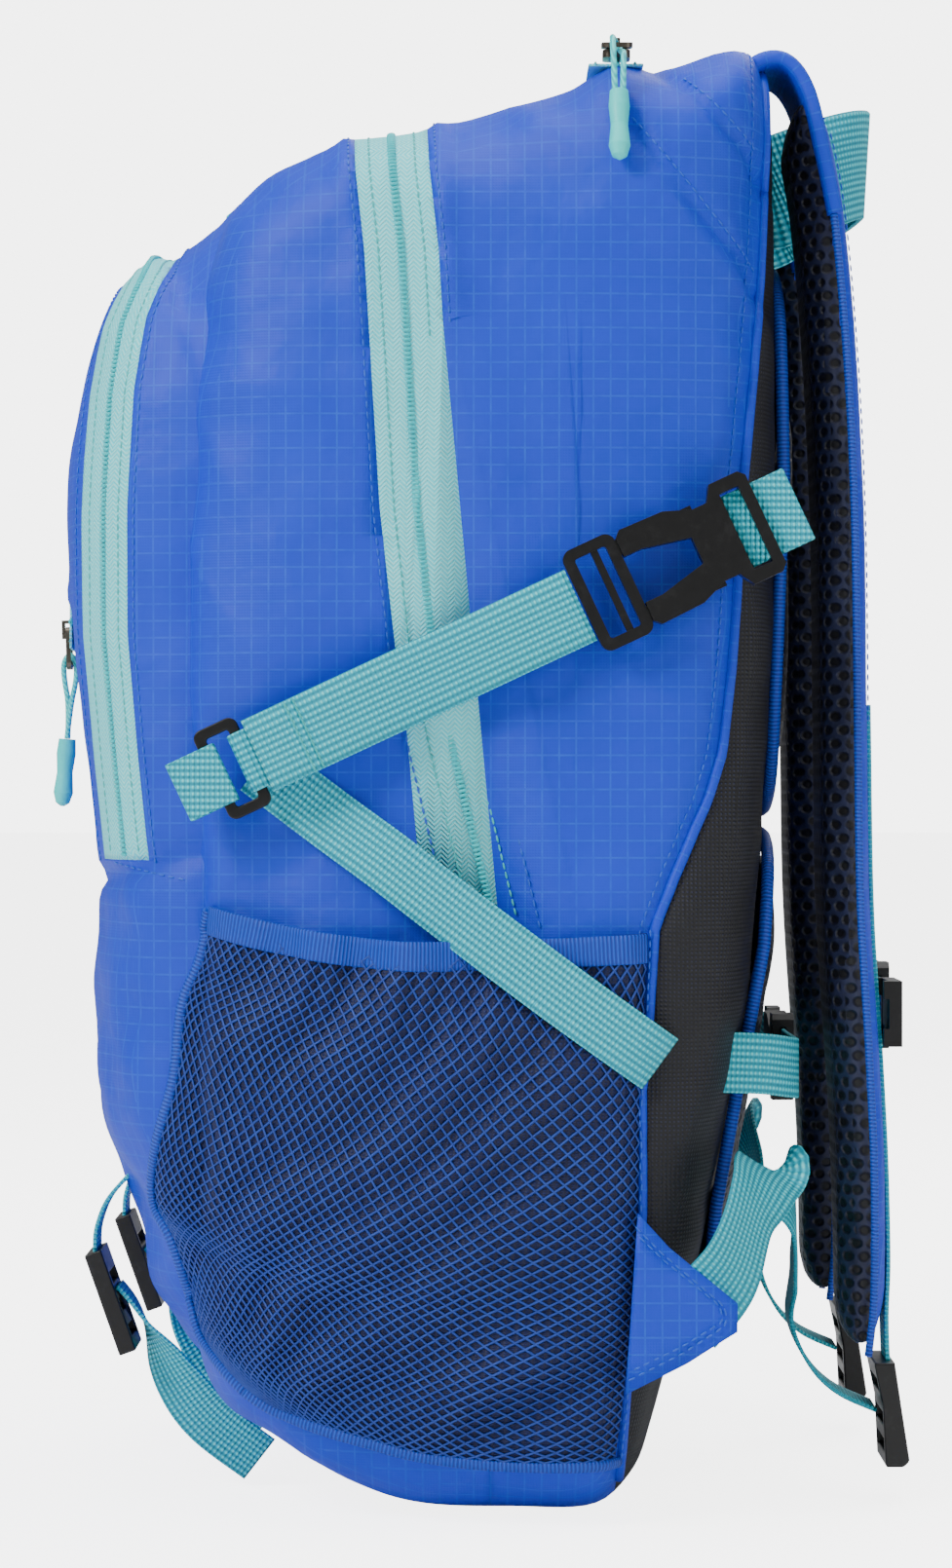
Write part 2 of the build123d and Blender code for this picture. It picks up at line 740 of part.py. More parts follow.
def pull_ring():
    x = (RING_REACH - RING_WIRE) / 2
    outer = RectangleRounded(RING_REACH, 2 * RING_HALF, 2.5)
    inner = RectangleRounded(RING_REACH - 2 * RING_WIRE, 2 * RING_HALF - 2 * RING_WIRE, 1.2)
    return Pos(x, 0, 0) * extrude(outer - inner, amount=RING_WIRE / 2, both=True)


def grip_frame(droop):
    """Where the grip starts: past the cord's bend, turned down towards the fabric."""
    half = math.radians(droop / 2)
    full = math.radians(droop)
    x = 18 + 9 * math.cos(half) + 12 * math.cos(full)
    z = -9 * math.sin(half) - 12 * math.sin(full)
    return Pos(x, 0, z) * Rot(0, droop, 0)


def cord_points(droop):
    """One cord, out of the grip, over the ring's end bar, back under it and into the grip."""
    half = math.radians(droop / 2)
    middle = (18 + 9 * math.cos(half), -9 * math.sin(half))
    end = grip_frame(droop) * Pos(-GRIP_GAP, 0, 0)
    x, z = end.position.X, end.position.Z
    return [
        (x, -1.3, z), (middle[0], -1.6, middle[1] + 0.4), (18.2, -1.8, 2.3), (11.6, -1.5, 2.5),
        (8.4, 0.0, 0.0), (11.6, 1.5, -2.5), (18.2, 1.8, -2.3),
        (middle[0], 1.6, middle[1] - 0.4), (x, 1.3, z),
    ]


def bend_radii(points):
    """Each arc as large as its two runs allow."""
    radii = []
    for before, at, after in zip(points, points[1:], points[2:]):
        one = Vector(*at) - Vector(*before)
        two = Vector(*after) - Vector(*at)
        turn = math.radians(one.get_angle(two))
        radii.append(0.45 * min(one.length, two.length) / math.tan(turn / 2))
    return radii


def pull_cord(droop):
    points = cord_points(droop)
    radii = bend_radii(points)
    path = FilletPolyline(*points, radius=radii)
    start = Plane(origin=path @ 0, z_dir=path % 0)
    cord = sweep(start * Circle(PULL_CORD / 2), path=path)
    ideal = math.pi * (PULL_CORD / 2) ** 2 * path.length
    print("cord length", round(path.length, 2), "radii", [round(r, 1) for r in radii],
          "volume over section times length", round(cord.volume / ideal, 4))
    return cord


def pull_grip():
    """Waisted rubber grip, turned about the cord's line."""
    r = GRIP_DIA / 2
    long = GRIP_LENGTH
    outline = [
        (0, 0), (0, r * 0.86), (long * 0.22, r * 0.98), (long * 0.5, r * 0.8), (long * 0.8, r),
        (long * 0.95, r * 0.7), (long, r * 0.2), (long, 0),
    ]
    face = make_face(Polyline(*[(x, y, 0) for x, y in outline], close=True))
    return revolve(face, axis=Axis.X)


def zip_sets():
    """Hinge place, the slider's own way, the pull's hanging way, outward way, pull across the zip, droop."""
    slope = math.radians(18.2)
    y, z = place(-30, 456.5)
    main_at = (0, y - HINGE_HIGH * math.sin(slope), z + HINGE_HIGH * math.cos(slope))
    main_hang = (0, -math.cos(slope), -math.sin(slope))
    front_y, front_z = place(-140.1, FRONT_ZIP_Z)
    rear_y, rear_z = place(REAR_ZIP_Y, 476.2)
    side_y, side_z = place(-125.5, 330)
    side_x = -POCKET_WIDTH / 2 - HINGE_HIGH
    down = (0, 0, -1)
    front_hang = (0, 0.03, -1)
    rear_at = (HALF - REAR_SLIDER_INSET, rear_y, rear_z + HINGE_HIGH)
    return {
        "main": (main_at, main_hang, main_hang, (0, -0.3, 1), True, 4),
        "front": ((0, front_y - HINGE_HIGH, front_z), front_hang, front_hang, (0, -1, 0), True, -6),
        "rear": (rear_at, (1, 0, 0), (1, 0, -0.12), (0, 0, 1), False, 65),
        "pocket": ((side_x, side_y, side_z), down, down, (-1, 0, 0), False, 0),
    }


def zip_hardware():
    shapes = {}
    for name, (at, run, hang, out, turned, droop) in zip_sets().items():
        here = pull_frame(at, hang, out)
        shapes[f"slider_{name}"] = pull_frame(at, run, out) * zip_slider(turned)
        shapes[f"pull_ring_{name}"] = here * pull_ring()
        shapes[f"pull_cord_{name}"] = here * pull_cord(droop)
        shapes[f"pull_grip_{name}"] = here * (grip_frame(droop) * pull_grip())
    return shapes


# ---------------------------------------------------------------- write
def write(name, shape):
    solids = shape.solids()
    export_step(shape if len(solids) > 1 else solids[0], f"parts/{name}.step")


def main():
    os.makedirs("parts", exist_ok=True)
    for name, shape in shell_panels().items():
        write(name, shape)
    single = {
        "front_pocket": front_pocket, "frame_sheet": frame_sheet, "hydration_sleeve": hydration_sleeve,
        "back_foam": back_foam, "lumbar_pad": lumbar_pad, "main_zip": main_zip, "pocket_zip": pocket_zip,
        "short_zips": short_zips, "haul_loop": haul_loop,
        "sternum_female": sternum_female, "sternum_male": sternum_male,
        "waist_female": waist_female, "waist_male": waist_male,
    }
    for name, make in single.items():
        write(name, make())
    for name, shape in zip_hardware().items():
        write(name, shape)
    grouped = {
        "side_tabs": side_tab, "compression_rings": compression_ring,
        "front_anchor_webs": front_anchor_web, "compression_legs": leg_web,
        "rear_anchor_webs": rear_anchor_web, "compression_females": compression_female,
        "lower_webs": lower_web, "waist_webs": waist_web, "accessory_webs": accessory_web,
        "accessory_locks": accessory_lock,
    }
    for name, make in grouped.items():
        write(name, both_sides(make()))
    paired = {
        "mesh_pocket": mesh_pocket, "compression_male": compression_male,
        "compression_tail": compression_tail,
        "shoulder_strap": shoulder_strap, "strap_web": strap_web, "ladder_lock": ladder_lock,
        "sternum_slider": sternum_slider, "sternum_web": sternum_web,
    }
    for name, make in paired.items():
        right = make()
        write(f"{name}_right", right)
        write(f"{name}_left", mirrored(right))


main()
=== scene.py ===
import json
import math

import bmesh
import bpy
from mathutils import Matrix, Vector, noise
from mathutils.bvhtree import BVHTree


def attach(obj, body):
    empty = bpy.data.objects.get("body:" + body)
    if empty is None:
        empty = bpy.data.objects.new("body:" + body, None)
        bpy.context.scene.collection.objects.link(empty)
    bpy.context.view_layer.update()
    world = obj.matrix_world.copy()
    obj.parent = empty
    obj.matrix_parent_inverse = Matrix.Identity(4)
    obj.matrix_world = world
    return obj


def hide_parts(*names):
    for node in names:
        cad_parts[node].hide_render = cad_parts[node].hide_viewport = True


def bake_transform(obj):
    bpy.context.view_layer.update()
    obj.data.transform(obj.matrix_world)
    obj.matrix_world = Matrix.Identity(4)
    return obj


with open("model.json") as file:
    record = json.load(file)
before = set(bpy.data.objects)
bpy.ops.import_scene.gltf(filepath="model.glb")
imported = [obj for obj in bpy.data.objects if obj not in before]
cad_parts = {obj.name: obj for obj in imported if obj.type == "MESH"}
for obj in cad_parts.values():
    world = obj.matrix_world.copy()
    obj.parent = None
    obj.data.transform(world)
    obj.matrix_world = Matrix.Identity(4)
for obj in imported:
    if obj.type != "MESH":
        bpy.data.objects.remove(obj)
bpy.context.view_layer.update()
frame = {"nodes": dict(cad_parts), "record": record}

bl_info = {
    "name": "Daypack maker",
    "version": (1, 0, 0),
    "blender": (4, 5, 0),
    "location": "3D View > Sidebar > Daypack",
    "description": "Builds the cloth, webbing and hardware of a daypack around its packed frame",
    "category": "Object",
}

MM = 0.001
CLOTH = 1.4 * MM
WEB_WIDE = 25 * MM
WEB_NARROW = 20 * MM
WEB_THICK = 1.4 * MM
STRAP_X = 80          # the shoulder straps' middle, out from the bag's middle
TAB_X = 152.6         # the side tabs' middle layer
TOUCH = 1e-7          # two places closer than this are the same
SIDES = ((1, "right"), (-1, "left"))


# ------------------------------------------------------------------ settings
class DaypackSettings(bpy.types.PropertyGroup):
    """Sizes and colours that a user would change."""

    half_width: bpy.props.FloatProperty(
        name="Half width", description="Middle of the bag to the side panel", default=0.153,
        unit="LENGTH", subtype="DISTANCE",
    )
    pocket_half: bpy.props.FloatProperty(
        name="Pocket half width", description="Middle of the bag to the front pocket's side", default=0.134,
        unit="LENGTH", subtype="DISTANCE",
    )
    ripstop_pitch: bpy.props.FloatProperty(
        name="Ripstop pitch", description="Spacing of the thick threads in the ripstop", default=0.0055,
        unit="LENGTH", subtype="DISTANCE",
    )
    net_cell: bpy.props.FloatProperty(
        name="Net cell", description="Height of one cell of the knitted pocket net", default=0.0042,
        unit="LENGTH", subtype="DISTANCE",
    )
    blue: bpy.props.StringProperty(
        name="Fabric blue", description="sRGB hex of the ripstop", default="#003CE0",
    )
    aqua: bpy.props.StringProperty(
        name="Webbing aqua", description="sRGB hex of the webbing", default="#12D0E6",
    )


# ------------------------------------------------------------------ small helpers
def hex_colour(text):
    """An sRGB hex value as linear RGBA."""
    values = [int(text[i:i + 2], 16) / 255 for i in (1, 3, 5)]
    linear = [v / 12.92 if v <= 0.04045 else ((v + 0.055) / 1.055) ** 2.4 for v in values]
    return (*linear, 1.0)


def mm(x, y, z):
    return Vector((x, y, z)) * MM


def smooth(low, high, value):
    t = min(max((value - low) / (high - low), 0.0), 1.0)
    return t * t * (3 - 2 * t)


def bump(value, width):
    """A soft bump, 1 at zero and fading over the width."""
    return math.exp(-((value / width) ** 2))


def along(table, value):
    """Value read off a short table of (key, value) pairs, in straight steps between them."""
    if value <= table[0][0]:
        return table[0][1]
    for (a, va), (b, vb) in zip(table, table[1:]):
        if value <= b:
            t = (value - a) / (b - a)
            return va + (vb - va) * t
    return table[-1][1]


def curve_point(points, t, closed=False):
    """A point on a smooth curve through all the given points."""
    count = len(points)
    spans = count if closed else count - 1
    place = min(max(t, 0.0), 1.0) * spans
    i = min(int(place), spans - 1)
    f = place - i
    if closed:
        four = [points[(i + k) % count] for k in (-1, 0, 1, 2)]
    else:
        four = [points[min(max(i + k, 0), count - 1)] for k in (-1, 0, 1, 2)]
    a, b, c, d = (Vector(p) for p in four)
    return 0.5 * ((2 * b) + (c - a) * f + (2 * a - 5 * b + 4 * c - d) * f * f
                  + (3 * b - a - 3 * c + d) * f ** 3)


def even_curve(points, count, closed=False):
    """Evenly spaced points on that curve."""
    fine = [curve_point(points, i / 600, closed) for i in range(601)]
    lengths = [0.0]
    for a, b in zip(fine, fine[1:]):
        lengths.append(lengths[-1] + (b - a).length)
    total = lengths[-1]
    steps = count if closed else count - 1
    result = []
    k = 0
    for i in range(count):
        want = total * i / steps
        while k < 599 and lengths[k + 1] < want:
            k += 1
        span = max(lengths[k + 1] - lengths[k], 1e-9)
        result.append(fine[k].lerp(fine[k + 1], (want - lengths[k]) / span))
    return result


def add(tree, kind, settings=None, **inputs):
    """One node with its settings; an input is a value, or a socket to link from."""
    made = tree.nodes.new(kind)
    for key, value in (settings or {}).items():
        setattr(made, key, value)
    for key, value in inputs.items():
        name = key.replace("_", " ")
        socket = made.inputs[int(key[1:])] if key[0] == "i" and key[1:].isdigit() else made.inputs[name]
        if isinstance(value, bpy.types.NodeSocket):
            tree.links.new(value, socket)
        else:
            socket.default_value = value
    return made


def new_material(name):
    material = bpy.data.materials.new(name)
    material.use_nodes = True
    material.node_tree.nodes.clear()
    return material, material.node_tree


def maths(tree, operation, *values):
    return add(tree, "ShaderNodeMath", {"operation": operation},
               **{f"i{n}": v for n, v in enumerate(values)}).outputs[0]


def mix_colour(tree, factor, one, two):
    return add(tree, "ShaderNodeMix", {"data_type": "RGBA"}, i0=factor, i6=one, i7=two).outputs[2]


def finish_material(tree, colour, roughness, height=None, depth=0.0005, **constants):
    """Principled surface; the constants are set on the shader's own sockets."""
    shader = add(tree, "ShaderNodeBsdfPrincipled", Base_Color=colour, Roughness=roughness)
    for key, value in constants.items():
        shader.inputs[key.replace("_", " ")].default_value = value
    if height is not None:
        made = add(tree, "ShaderNodeBump", Strength=1.0, Distance=depth, Height=height)
        tree.links.new(made.outputs["Normal"], shader.inputs["Normal"])
    add(tree, "ShaderNodeOutputMaterial", Surface=shader.outputs[0])


def uv_axes(tree):
    """The piece's own UV map, in metres, as separate U and V."""
    made = add(tree, "ShaderNodeUVMap", {"uv_map": "UVMap"})
    parts = add(tree, "ShaderNodeSeparateXYZ", i0=made.outputs[0])
    return parts.outputs[0], parts.outputs[1]


def object_noise(tree, size, detail=3.0, roughness=0.5):
    """Noise in object space with features of the given size in metres."""
    coords = add(tree, "ShaderNodeTexCoord")
    made = add(tree, "ShaderNodeTexNoise", {"noise_dimensions": "3D"}, Vector=coords.outputs["Object"],
               Scale=1 / size, Detail=detail, Roughness=roughness)
    return made.outputs["Fac"]


def line_mask(tree, axis, pitch, share):
    """1 on thin lines, a share of the pitch wide, across one axis."""
    wrapped = maths(tree, "FRACT", maths(tree, "MULTIPLY", axis, 1 / pitch))
    centred = maths(tree, "ABSOLUTE", maths(tree, "SUBTRACT", wrapped, 0.5))
    return maths(tree, "LESS_THAN", centred, share / 2)


def wave(tree, axis, pitch):
    """A smooth 0 to 1 wave of the given pitch."""
    turned = maths(tree, "SINE", maths(tree, "MULTIPLY", axis, math.tau / pitch))
    return maths(tree, "MULTIPLY_ADD", turned, 0.5, 0.5)


# ------------------------------------------------------------------ materials
def ripstop_polyester():
    """Coated ripstop polyester, plain woven: satin blue with a faint raised grid of thick threads."""
    settings = bpy.context.scene.daypack
    material, tree = new_material("ripstop_polyester_woven")
    u, v = uv_axes(tree)
    pitch = settings.ripstop_pitch
    grid = maths(tree, "MAXIMUM", line_mask(tree, u, pitch, 0.11), line_mask(tree, v, pitch, 0.11))
    # the real thread is 0.25 mm; it is drawn 0.9 mm apart so that it shows
    weave = maths(tree, "MULTIPLY", wave(tree, u, 0.0009), wave(tree, v, 0.0009))
    clouds = object_noise(tree, 0.045, 4.0, 0.6)
    base = hex_colour(settings.blue)
    deep = hex_colour("#0028A6")
    bright = hex_colour("#1E7CF5")
    tone = mix_colour(tree, clouds, deep, base)
    tone = mix_colour(tree, 0.5, tone, base)
    dashes = maths(tree, "MULTIPLY", grid, object_noise(tree, 0.004, 1.0))
    tone = mix_colour(tree, maths(tree, "MULTIPLY", dashes, 0.45), tone, bright)
    height = maths(tree, "ADD", maths(tree, "MULTIPLY", grid, 0.5), maths(tree, "MULTIPLY", weave, 0.25))
    creases = object_noise(tree, 0.018, 3.0, 0.55)
    height = maths(tree, "MULTIPLY_ADD", creases, 6.0, height)
    rough = maths(tree, "MULTIPLY_ADD", object_noise(tree, 0.03), 0.12, 0.52)
    finish_material(tree, tone, rough, height, 0.00022, IOR=1.5)
    return material


def coarse_nylon():
    """Oxford nylon, basket woven: near black with small light thread tops."""
    material, tree = new_material("oxford_nylon_basket_woven")
    u, v = uv_axes(tree)
    # threads drawn 1.4 mm apart so that they show
    weave = maths(tree, "MULTIPLY", wave(tree, u, 0.0014), wave(tree, v, 0.0014))
    tops = add(tree, "ShaderNodeMapRange", Value=weave, From_Min=0.45, From_Max=0.95).outputs[0]
    worn = object_noise(tree, 0.03, 4.0)
    patches = add(tree, "ShaderNodeMapRange", Value=worn, From_Min=0.35, From_Max=0.7).outputs[0]
    amount = maths(tree, "MULTIPLY", tops, maths(tree, "MULTIPLY_ADD", patches, 0.6, 0.15))
    tone = mix_colour(tree, amount, hex_colour("#08090F"), hex_colour("#2A3358"))
    rough = maths(tree, "MULTIPLY_ADD", tops, -0.15, 0.62)
    height = maths(tree, "MULTIPLY_ADD", object_noise(tree, 0.02, 3.0), 5.0, weave)
    finish_material(tree, tone, rough, height, 0.0003, IOR=1.5)
    return material


def webbing_weave():
    """Polypropylene webbing, plain woven: aqua columns crossed by picks; the raised cells are painted lighter
    (painted highlight) and the gaps between the columns darker (painted shade).
    """
    material, tree = new_material("polypropylene_webbing_woven")
    u, v = uv_axes(tree)
    columns = wave(tree, u, 0.0021)
    rows = wave(tree, v, 0.0016)
    cells = maths(tree, "MULTIPLY", columns, rows)
    # painted highlight: the raised cells of the weave are lightened towards this colour
    rib_highlight = hex_colour("#84FFFF")
    base = hex_colour(bpy.context.scene.daypack.aqua)
    # painted shade: the gaps between the columns are darkened towards this colour
    deep = hex_colour("#0098B0")
    tone = mix_colour(tree, columns, deep, base)
    # where the painted highlight falls: on the raised cells
    light = add(tree, "ShaderNodeMapRange", Value=cells, From_Min=0.25, From_Max=0.9).outputs[0]
    tone = mix_colour(tree, maths(tree, "MULTIPLY", light, 0.85), tone, rib_highlight)
    height = maths(tree, "ADD", maths(tree, "MULTIPLY", columns, 0.6), rows)
    rough = maths(tree, "MULTIPLY_ADD", object_noise(tree, 0.003, 2.0), 0.15, 0.5)
    finish_material(tree, tone, rough, height, 0.00045, IOR=1.49)
    return material


def zip_tape_weave():
    """Polyester zip tape, herringbone woven, light aqua; the ribs are painted lighter on top and darker
    between them, a painted highlight and painted shade.
    """
    material, tree = new_material("zip_tape_herringbone")
    u, v = uv_axes(tree)
    folded = maths(tree, "PINGPONG", u, 0.0022)
    slanted = maths(tree, "ADD", v, folded)
    ribs = wave(tree, slanted, 0.0015)
    # painted highlight and painted shade: lighter on the raised ribs, darker between them
    tone = mix_colour(tree, ribs, hex_colour("#40E6F4"), hex_colour("#B0FFFF"))
    clouds = maths(tree, "MULTIPLY", object_noise(tree, 0.02), 0.3)
    tone = mix_colour(tree, clouds, tone, hex_colour("#48E8F4"))
    finish_material(tree, tone, 0.55, ribs, 0.00025, IOR=1.5)
    return material


def zip_coil_nylon():
    """Nylon zip coil, extruded and coiled: glossy deep aqua."""
    material, tree = new_material("zip_coil_nylon")
    tone = mix_colour(tree, object_noise(tree, 0.004), hex_colour("#00B4C0"), hex_colour("#30E2E4"))
    rough = maths(tree, "MULTIPLY_ADD", object_noise(tree, 0.002), 0.1, 0.3)
    finish_material(tree, tone, rough, object_noise(tree, 0.0008), 0.00005, IOR=1.53)
    return material


def net_thread():
    """Knitted polyester net: navy yarn with a dull shine."""
    material, tree = new_material("polyester_net_knitted")
    tone = mix_colour(tree, object_noise(tree, 0.006), hex_colour("#0C2A86"), hex_colour("#2C55B8"))
    rough = maths(tree, "MULTIPLY_ADD", object_noise(tree, 0.002), 0.2, 0.4)
    finish_material(tree, tone, rough, object_noise(tree, 0.0005), 0.0001)
    return material


def net_lining_painted_shade():
    """Tricot behind the net, finely knitted: dark blue, far darker than the bag's cloth; that darkness is
    painted shade of the pocket's inside.
    """
    material, tree = new_material("tricot_lining_knitted_painted_shade")
    u, v = uv_axes(tree)
    knit = maths(tree, "MULTIPLY", wave(tree, u, 0.0012), wave(tree, v, 0.0009))
    # painted shade: the sheet behind the net is coloured near black for the shade inside the pocket
    tone = mix_colour(tree, object_noise(tree, 0.03), hex_colour("#020726"), hex_colour("#061450"))
    tone = mix_colour(tree, maths(tree, "MULTIPLY", knit, 0.3), tone, hex_colour("#0B2C86"))
    finish_material(tree, tone, 0.6, knit, 0.0002)
    return material


def spacer_mesh():
    """Spacer mesh, warp knitted: near black with round holes 5 mm apart."""
    material, tree = new_material("spacer_mesh_knitted")
    u, v = uv_axes(tree)
    pitch = 0.0052
    rows = maths(tree, "MULTIPLY", v, 1 / (pitch * 0.866))
    odd = maths(tree, "MULTIPLY", maths(tree, "MODULO", maths(tree, "FLOOR", rows), 2.0), 0.5)
    columns = maths(tree, "MULTIPLY_ADD", u, 1 / pitch, odd)
    across = maths(tree, "SUBTRACT", maths(tree, "FRACT", columns), 0.5)
    up = maths(tree, "SUBTRACT", maths(tree, "FRACT", rows), 0.5)
    distance = maths(tree, "SQRT", maths(tree, "ADD", maths(tree, "MULTIPLY", across, across),
                                         maths(tree, "MULTIPLY", up, up)))
    web = add(tree, "ShaderNodeMapRange", Value=distance, From_Min=0.24, From_Max=0.42).outputs[0]
    yarn = mix_colour(tree, object_noise(tree, 0.003), hex_colour("#10142A"), hex_colour("#2A3358"))
    tone = mix_colour(tree, web, hex_colour("#030409"), yarn)
    finish_material(tree, tone, 0.55, web, 0.0013)
    return material


def binding_tape():
    """Grosgrain binding, ribbed: bright blue."""
    material, tree = new_material("grosgrain_binding_woven")
    _, v = uv_axes(tree)
    ribs = wave(tree, v, 0.0013)
    tone = mix_colour(tree, ribs, hex_colour("#002C9C"), hex_colour("#0A56DC"))
    finish_material(tree, tone, 0.55, ribs, 0.0003)
    return material


def acetal_moulded():
    """Acetal buckles, injection moulded: black, satin, with a fine mould texture and scuffed patches."""
    material, tree = new_material("acetal_moulded_black")
    scuffs = add(tree, "ShaderNodeMapRange", Value=object_noise(tree, 0.006, 5.0, 0.7),
                 From_Min=0.55, From_Max=0.75).outputs[0]
    pale = maths(tree, "MULTIPLY", scuffs, 0.5)
    tone = mix_colour(tree, pale, hex_colour("#0B0B0C"), hex_colour("#2A2A2B"))
    rough = maths(tree, "MULTIPLY_ADD", object_noise(tree, 0.002, 4.0), 0.16, 0.26)
    finish_material(tree, tone, rough, object_noise(tree, 0.0006), 0.00004, IOR=1.48)
    return material


def gunmetal_zinc():
    """Zinc alloy sliders and rings, cast and plated: dark warm grey metal, rubbed in patches."""
    material, tree = new_material("zinc_cast_gunmetal_plated")
    wear = object_noise(tree, 0.003, 4.0, 0.7)
    tone = mix_colour(tree, wear, hex_colour("#3A352F"), hex_colour("#8A8276"))
    rough = maths(tree, "MULTIPLY_ADD", wear, 0.2, 0.2)
    finish_material(tree, tone, rough, object_noise(tree, 0.0008), 0.00005, Metallic=1.0)
    return material


def pvc_grip():
    """PVC zip grips, dip moulded: matt aqua with a soft skin."""
    material, tree = new_material("pvc_grip_moulded")
    tone = mix_colour(tree, object_noise(tree, 0.01), hex_colour("#14D4D4"), hex_colour("#50F4EC"))
    rough = maths(tree, "MULTIPLY_ADD", object_noise(tree, 0.002), 0.15, 0.42)
    finish_material(tree, tone, rough, object_noise(tree, 0.0007), 0.00005, IOR=1.5, Coat_Weight=0.05)
    return material


def braided_cord():
    """Polyester cord, braided: aqua with slanted strands."""
    material, tree = new_material("polyester_cord_braided")
    coords = add(tree, "ShaderNodeTexCoord")
    made = add(tree, "ShaderNodeTexWave", {"bands_direction": "DIAGONAL"}, Vector=coords.outputs["Object"],
               Scale=320.0, Distortion=1.5)
    tone = mix_colour(tree, made.outputs["Fac"], hex_colour("#0CBCC4"), hex_colour("#60F6F0"))
    finish_material(tree, tone, 0.5, made.outputs["Fac"], 0.00015)
    return material


def stitch_thread(name, low, high):
    """Bonded polyester sewing thread."""
    material, tree = new_material(name)
    tone = mix_colour(tree, object_noise(tree, 0.001), hex_colour(low), hex_colour(high))
    finish_material(tree, tone, 0.45, object_noise(tree, 0.0004), 0.00008)
    return material


def sheet_plastic():
    """HDPE frame sheet, extruded: milky and faintly wavy."""
    material, tree = new_material("hdpe_sheet_extruded")
    tone = mix_colour(tree, object_noise(tree, 0.02), hex_colour("#C9CCCB"), hex_colour("#DADCDA"))
    finish_material(tree, tone, 0.4, object_noise(tree, 0.01), 0.0002, IOR=1.54)
    return material


def studio_floor():
    """Seamless paper floor, plain and pale."""
    material, tree = new_material("seamless_paper")
    tone = mix_colour(tree, object_noise(tree, 0.2), hex_colour("#FBFBFB"), hex_colour("#FFFFFF"))
    shader = add(tree, "ShaderNodeBsdfPrincipled", Base_Color=tone, Roughness=0.9)
    shader.inputs["Emission Color"].default_value = (1, 1, 1, 1)
    seen = add(tree, "ShaderNodeLightPath").outputs["Is Camera Ray"]
    glow = add(tree, "ShaderNodeMapRange", Value=seen, To_Max=4.3).outputs[0]
    tree.links.new(glow, shader.inputs["Emission Strength"])
    add(tree, "ShaderNodeOutputMaterial", Surface=shader.outputs[0])
    return material


MATERIALS = {}


def make_materials():
    builders = {
        "ripstop": ripstop_polyester, "oxford": coarse_nylon, "webbing": webbing_weave,
        "tape": zip_tape_weave, "coil": zip_coil_nylon, "net": net_thread, "lining": net_lining_painted_shade,
        "spacer": spacer_mesh, "binding": binding_tape, "acetal": acetal_moulded, "metal": gunmetal_zinc,
        "grip": pvc_grip, "cord": braided_cord, "sheet": sheet_plastic, "floor": studio_floor,
    }
    for key, build in builders.items():
        MATERIALS[key] = build()
    MATERIALS["blue_thread"] = stitch_thread("sewing_thread_blue", "#0B3FB4", "#2F6EEA")
    MATERIALS["aqua_thread"] = stitch_thread("sewing_thread_aqua", "#1AA0A6", "#47D0CE")


# ------------------------------------------------------------------ meshes
def box_uv(mesh):
    """UVs in metres, projected along each face's main direction."""
    layer = mesh.uv_layers.new(name="UVMap")
    for polygon in mesh.polygons:
        n = polygon.normal
        if abs(n.x) >= max(abs(n.y), abs(n.z)):
            axes = (1, 2)
        else:
            axes = (0, 2) if abs(n.y) >= abs(n.z) else (0, 1)
        for loop in polygon.loop_indices:
            co = mesh.vertices[mesh.loops[loop].vertex_index].co
            layer.data[loop].uv = (co[axes[0]], co[axes[1]])


def finish_piece(name, bm, material, body="pack", uv=True):
    """A finished mesh piece at the origin, riding on its body."""
    mesh = bpy.data.meshes.new(name)
    bm.to_mesh(mesh)
    bm.free()
    mesh.shade_smooth()
    if uv and not mesh.uv_layers:
        box_uv(mesh)
    mesh.materials.append(MATERIALS[material])
    piece = bpy.data.objects.new(name, mesh)
    bpy.context.scene.collection.objects.link(piece)
    if body:
        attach(piece, body)
    return piece


def baked(piece):
    """Makes the piece's modifiers real and removes them."""
    graph = bpy.context.evaluated_depsgraph_get()
    mesh = bpy.data.meshes.new_from_object(piece.evaluated_get(graph), depsgraph=graph)
    piece.modifiers.clear()
    piece.data = mesh


def thicken(piece, thickness, offset=-1.0):
    """Gives a sheet its thickness, inwards unless the offset says otherwise."""
    wall = piece.modifiers.new("wall", "SOLIDIFY")
    wall.thickness = thickness
    wall.offset = offset
    wall.use_even_offset = False
    baked(piece)


def grid_mesh(rows, close_u=False, close_v=False, uv=None):
    """A bmesh from rows of points; uv gives each point's own UV in metres."""
    bm = bmesh.new()
    made = [[bm.verts.new(p) for p in row] for row in rows]
    layer = bm.loops.layers.uv.new("UVMap") if uv else None
    row_count = len(rows)
    width = len(rows[0])
    for i in range(row_count if close_u else row_count - 1):
        for j in range(width if close_v else width - 1):
            corners = [(i, j), (i, j + 1), (i + 1, j + 1), (i + 1, j)]
            face = bm.faces.new([made[a % row_count][b % width] for a, b in corners])
            if layer:
                for loop, (a, b) in zip(face.loops, corners):
                    loop[layer].uv = uv(a, b)
    return bm


def cut_where(bm, field):
    """Cuts a mesh along the line where the field is zero."""
    values = {v: field(v.co) for v in bm.verts}
    crossing = [e for e in bm.edges if values[e.verts[0]] * values[e.verts[1]] < 0]
    fresh = []
    for edge in crossing:
        a, b = edge.verts
        share = min(max(values[a] / (values[a] - values[b]), 0.02), 0.98)
        _, vert = bmesh.utils.edge_split(edge, a, share)
        values[vert] = 0.0
        fresh.append(vert)
    bmesh.ops.connect_verts(bm, verts=fresh)


def keep_where(bm, test):
    """Keeps the faces whose middle passes the test."""
    gone = [f for f in bm.faces if not test(f.calc_center_median())]
    bmesh.ops.delete(bm, geom=gone, context="FACES")


def cloth_panels(bm, panels):
    """One thick cloth piece for each test, taken from the whole surface, in place of its CAD nodes."""
    for name, (test, material, nodes) in panels.items():
        part = bm.copy()
        keep_where(part, test)
        piece = finish_piece(name, part, material)
        thicken(piece, CLOTH)
        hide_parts(*nodes)
    bm.free()


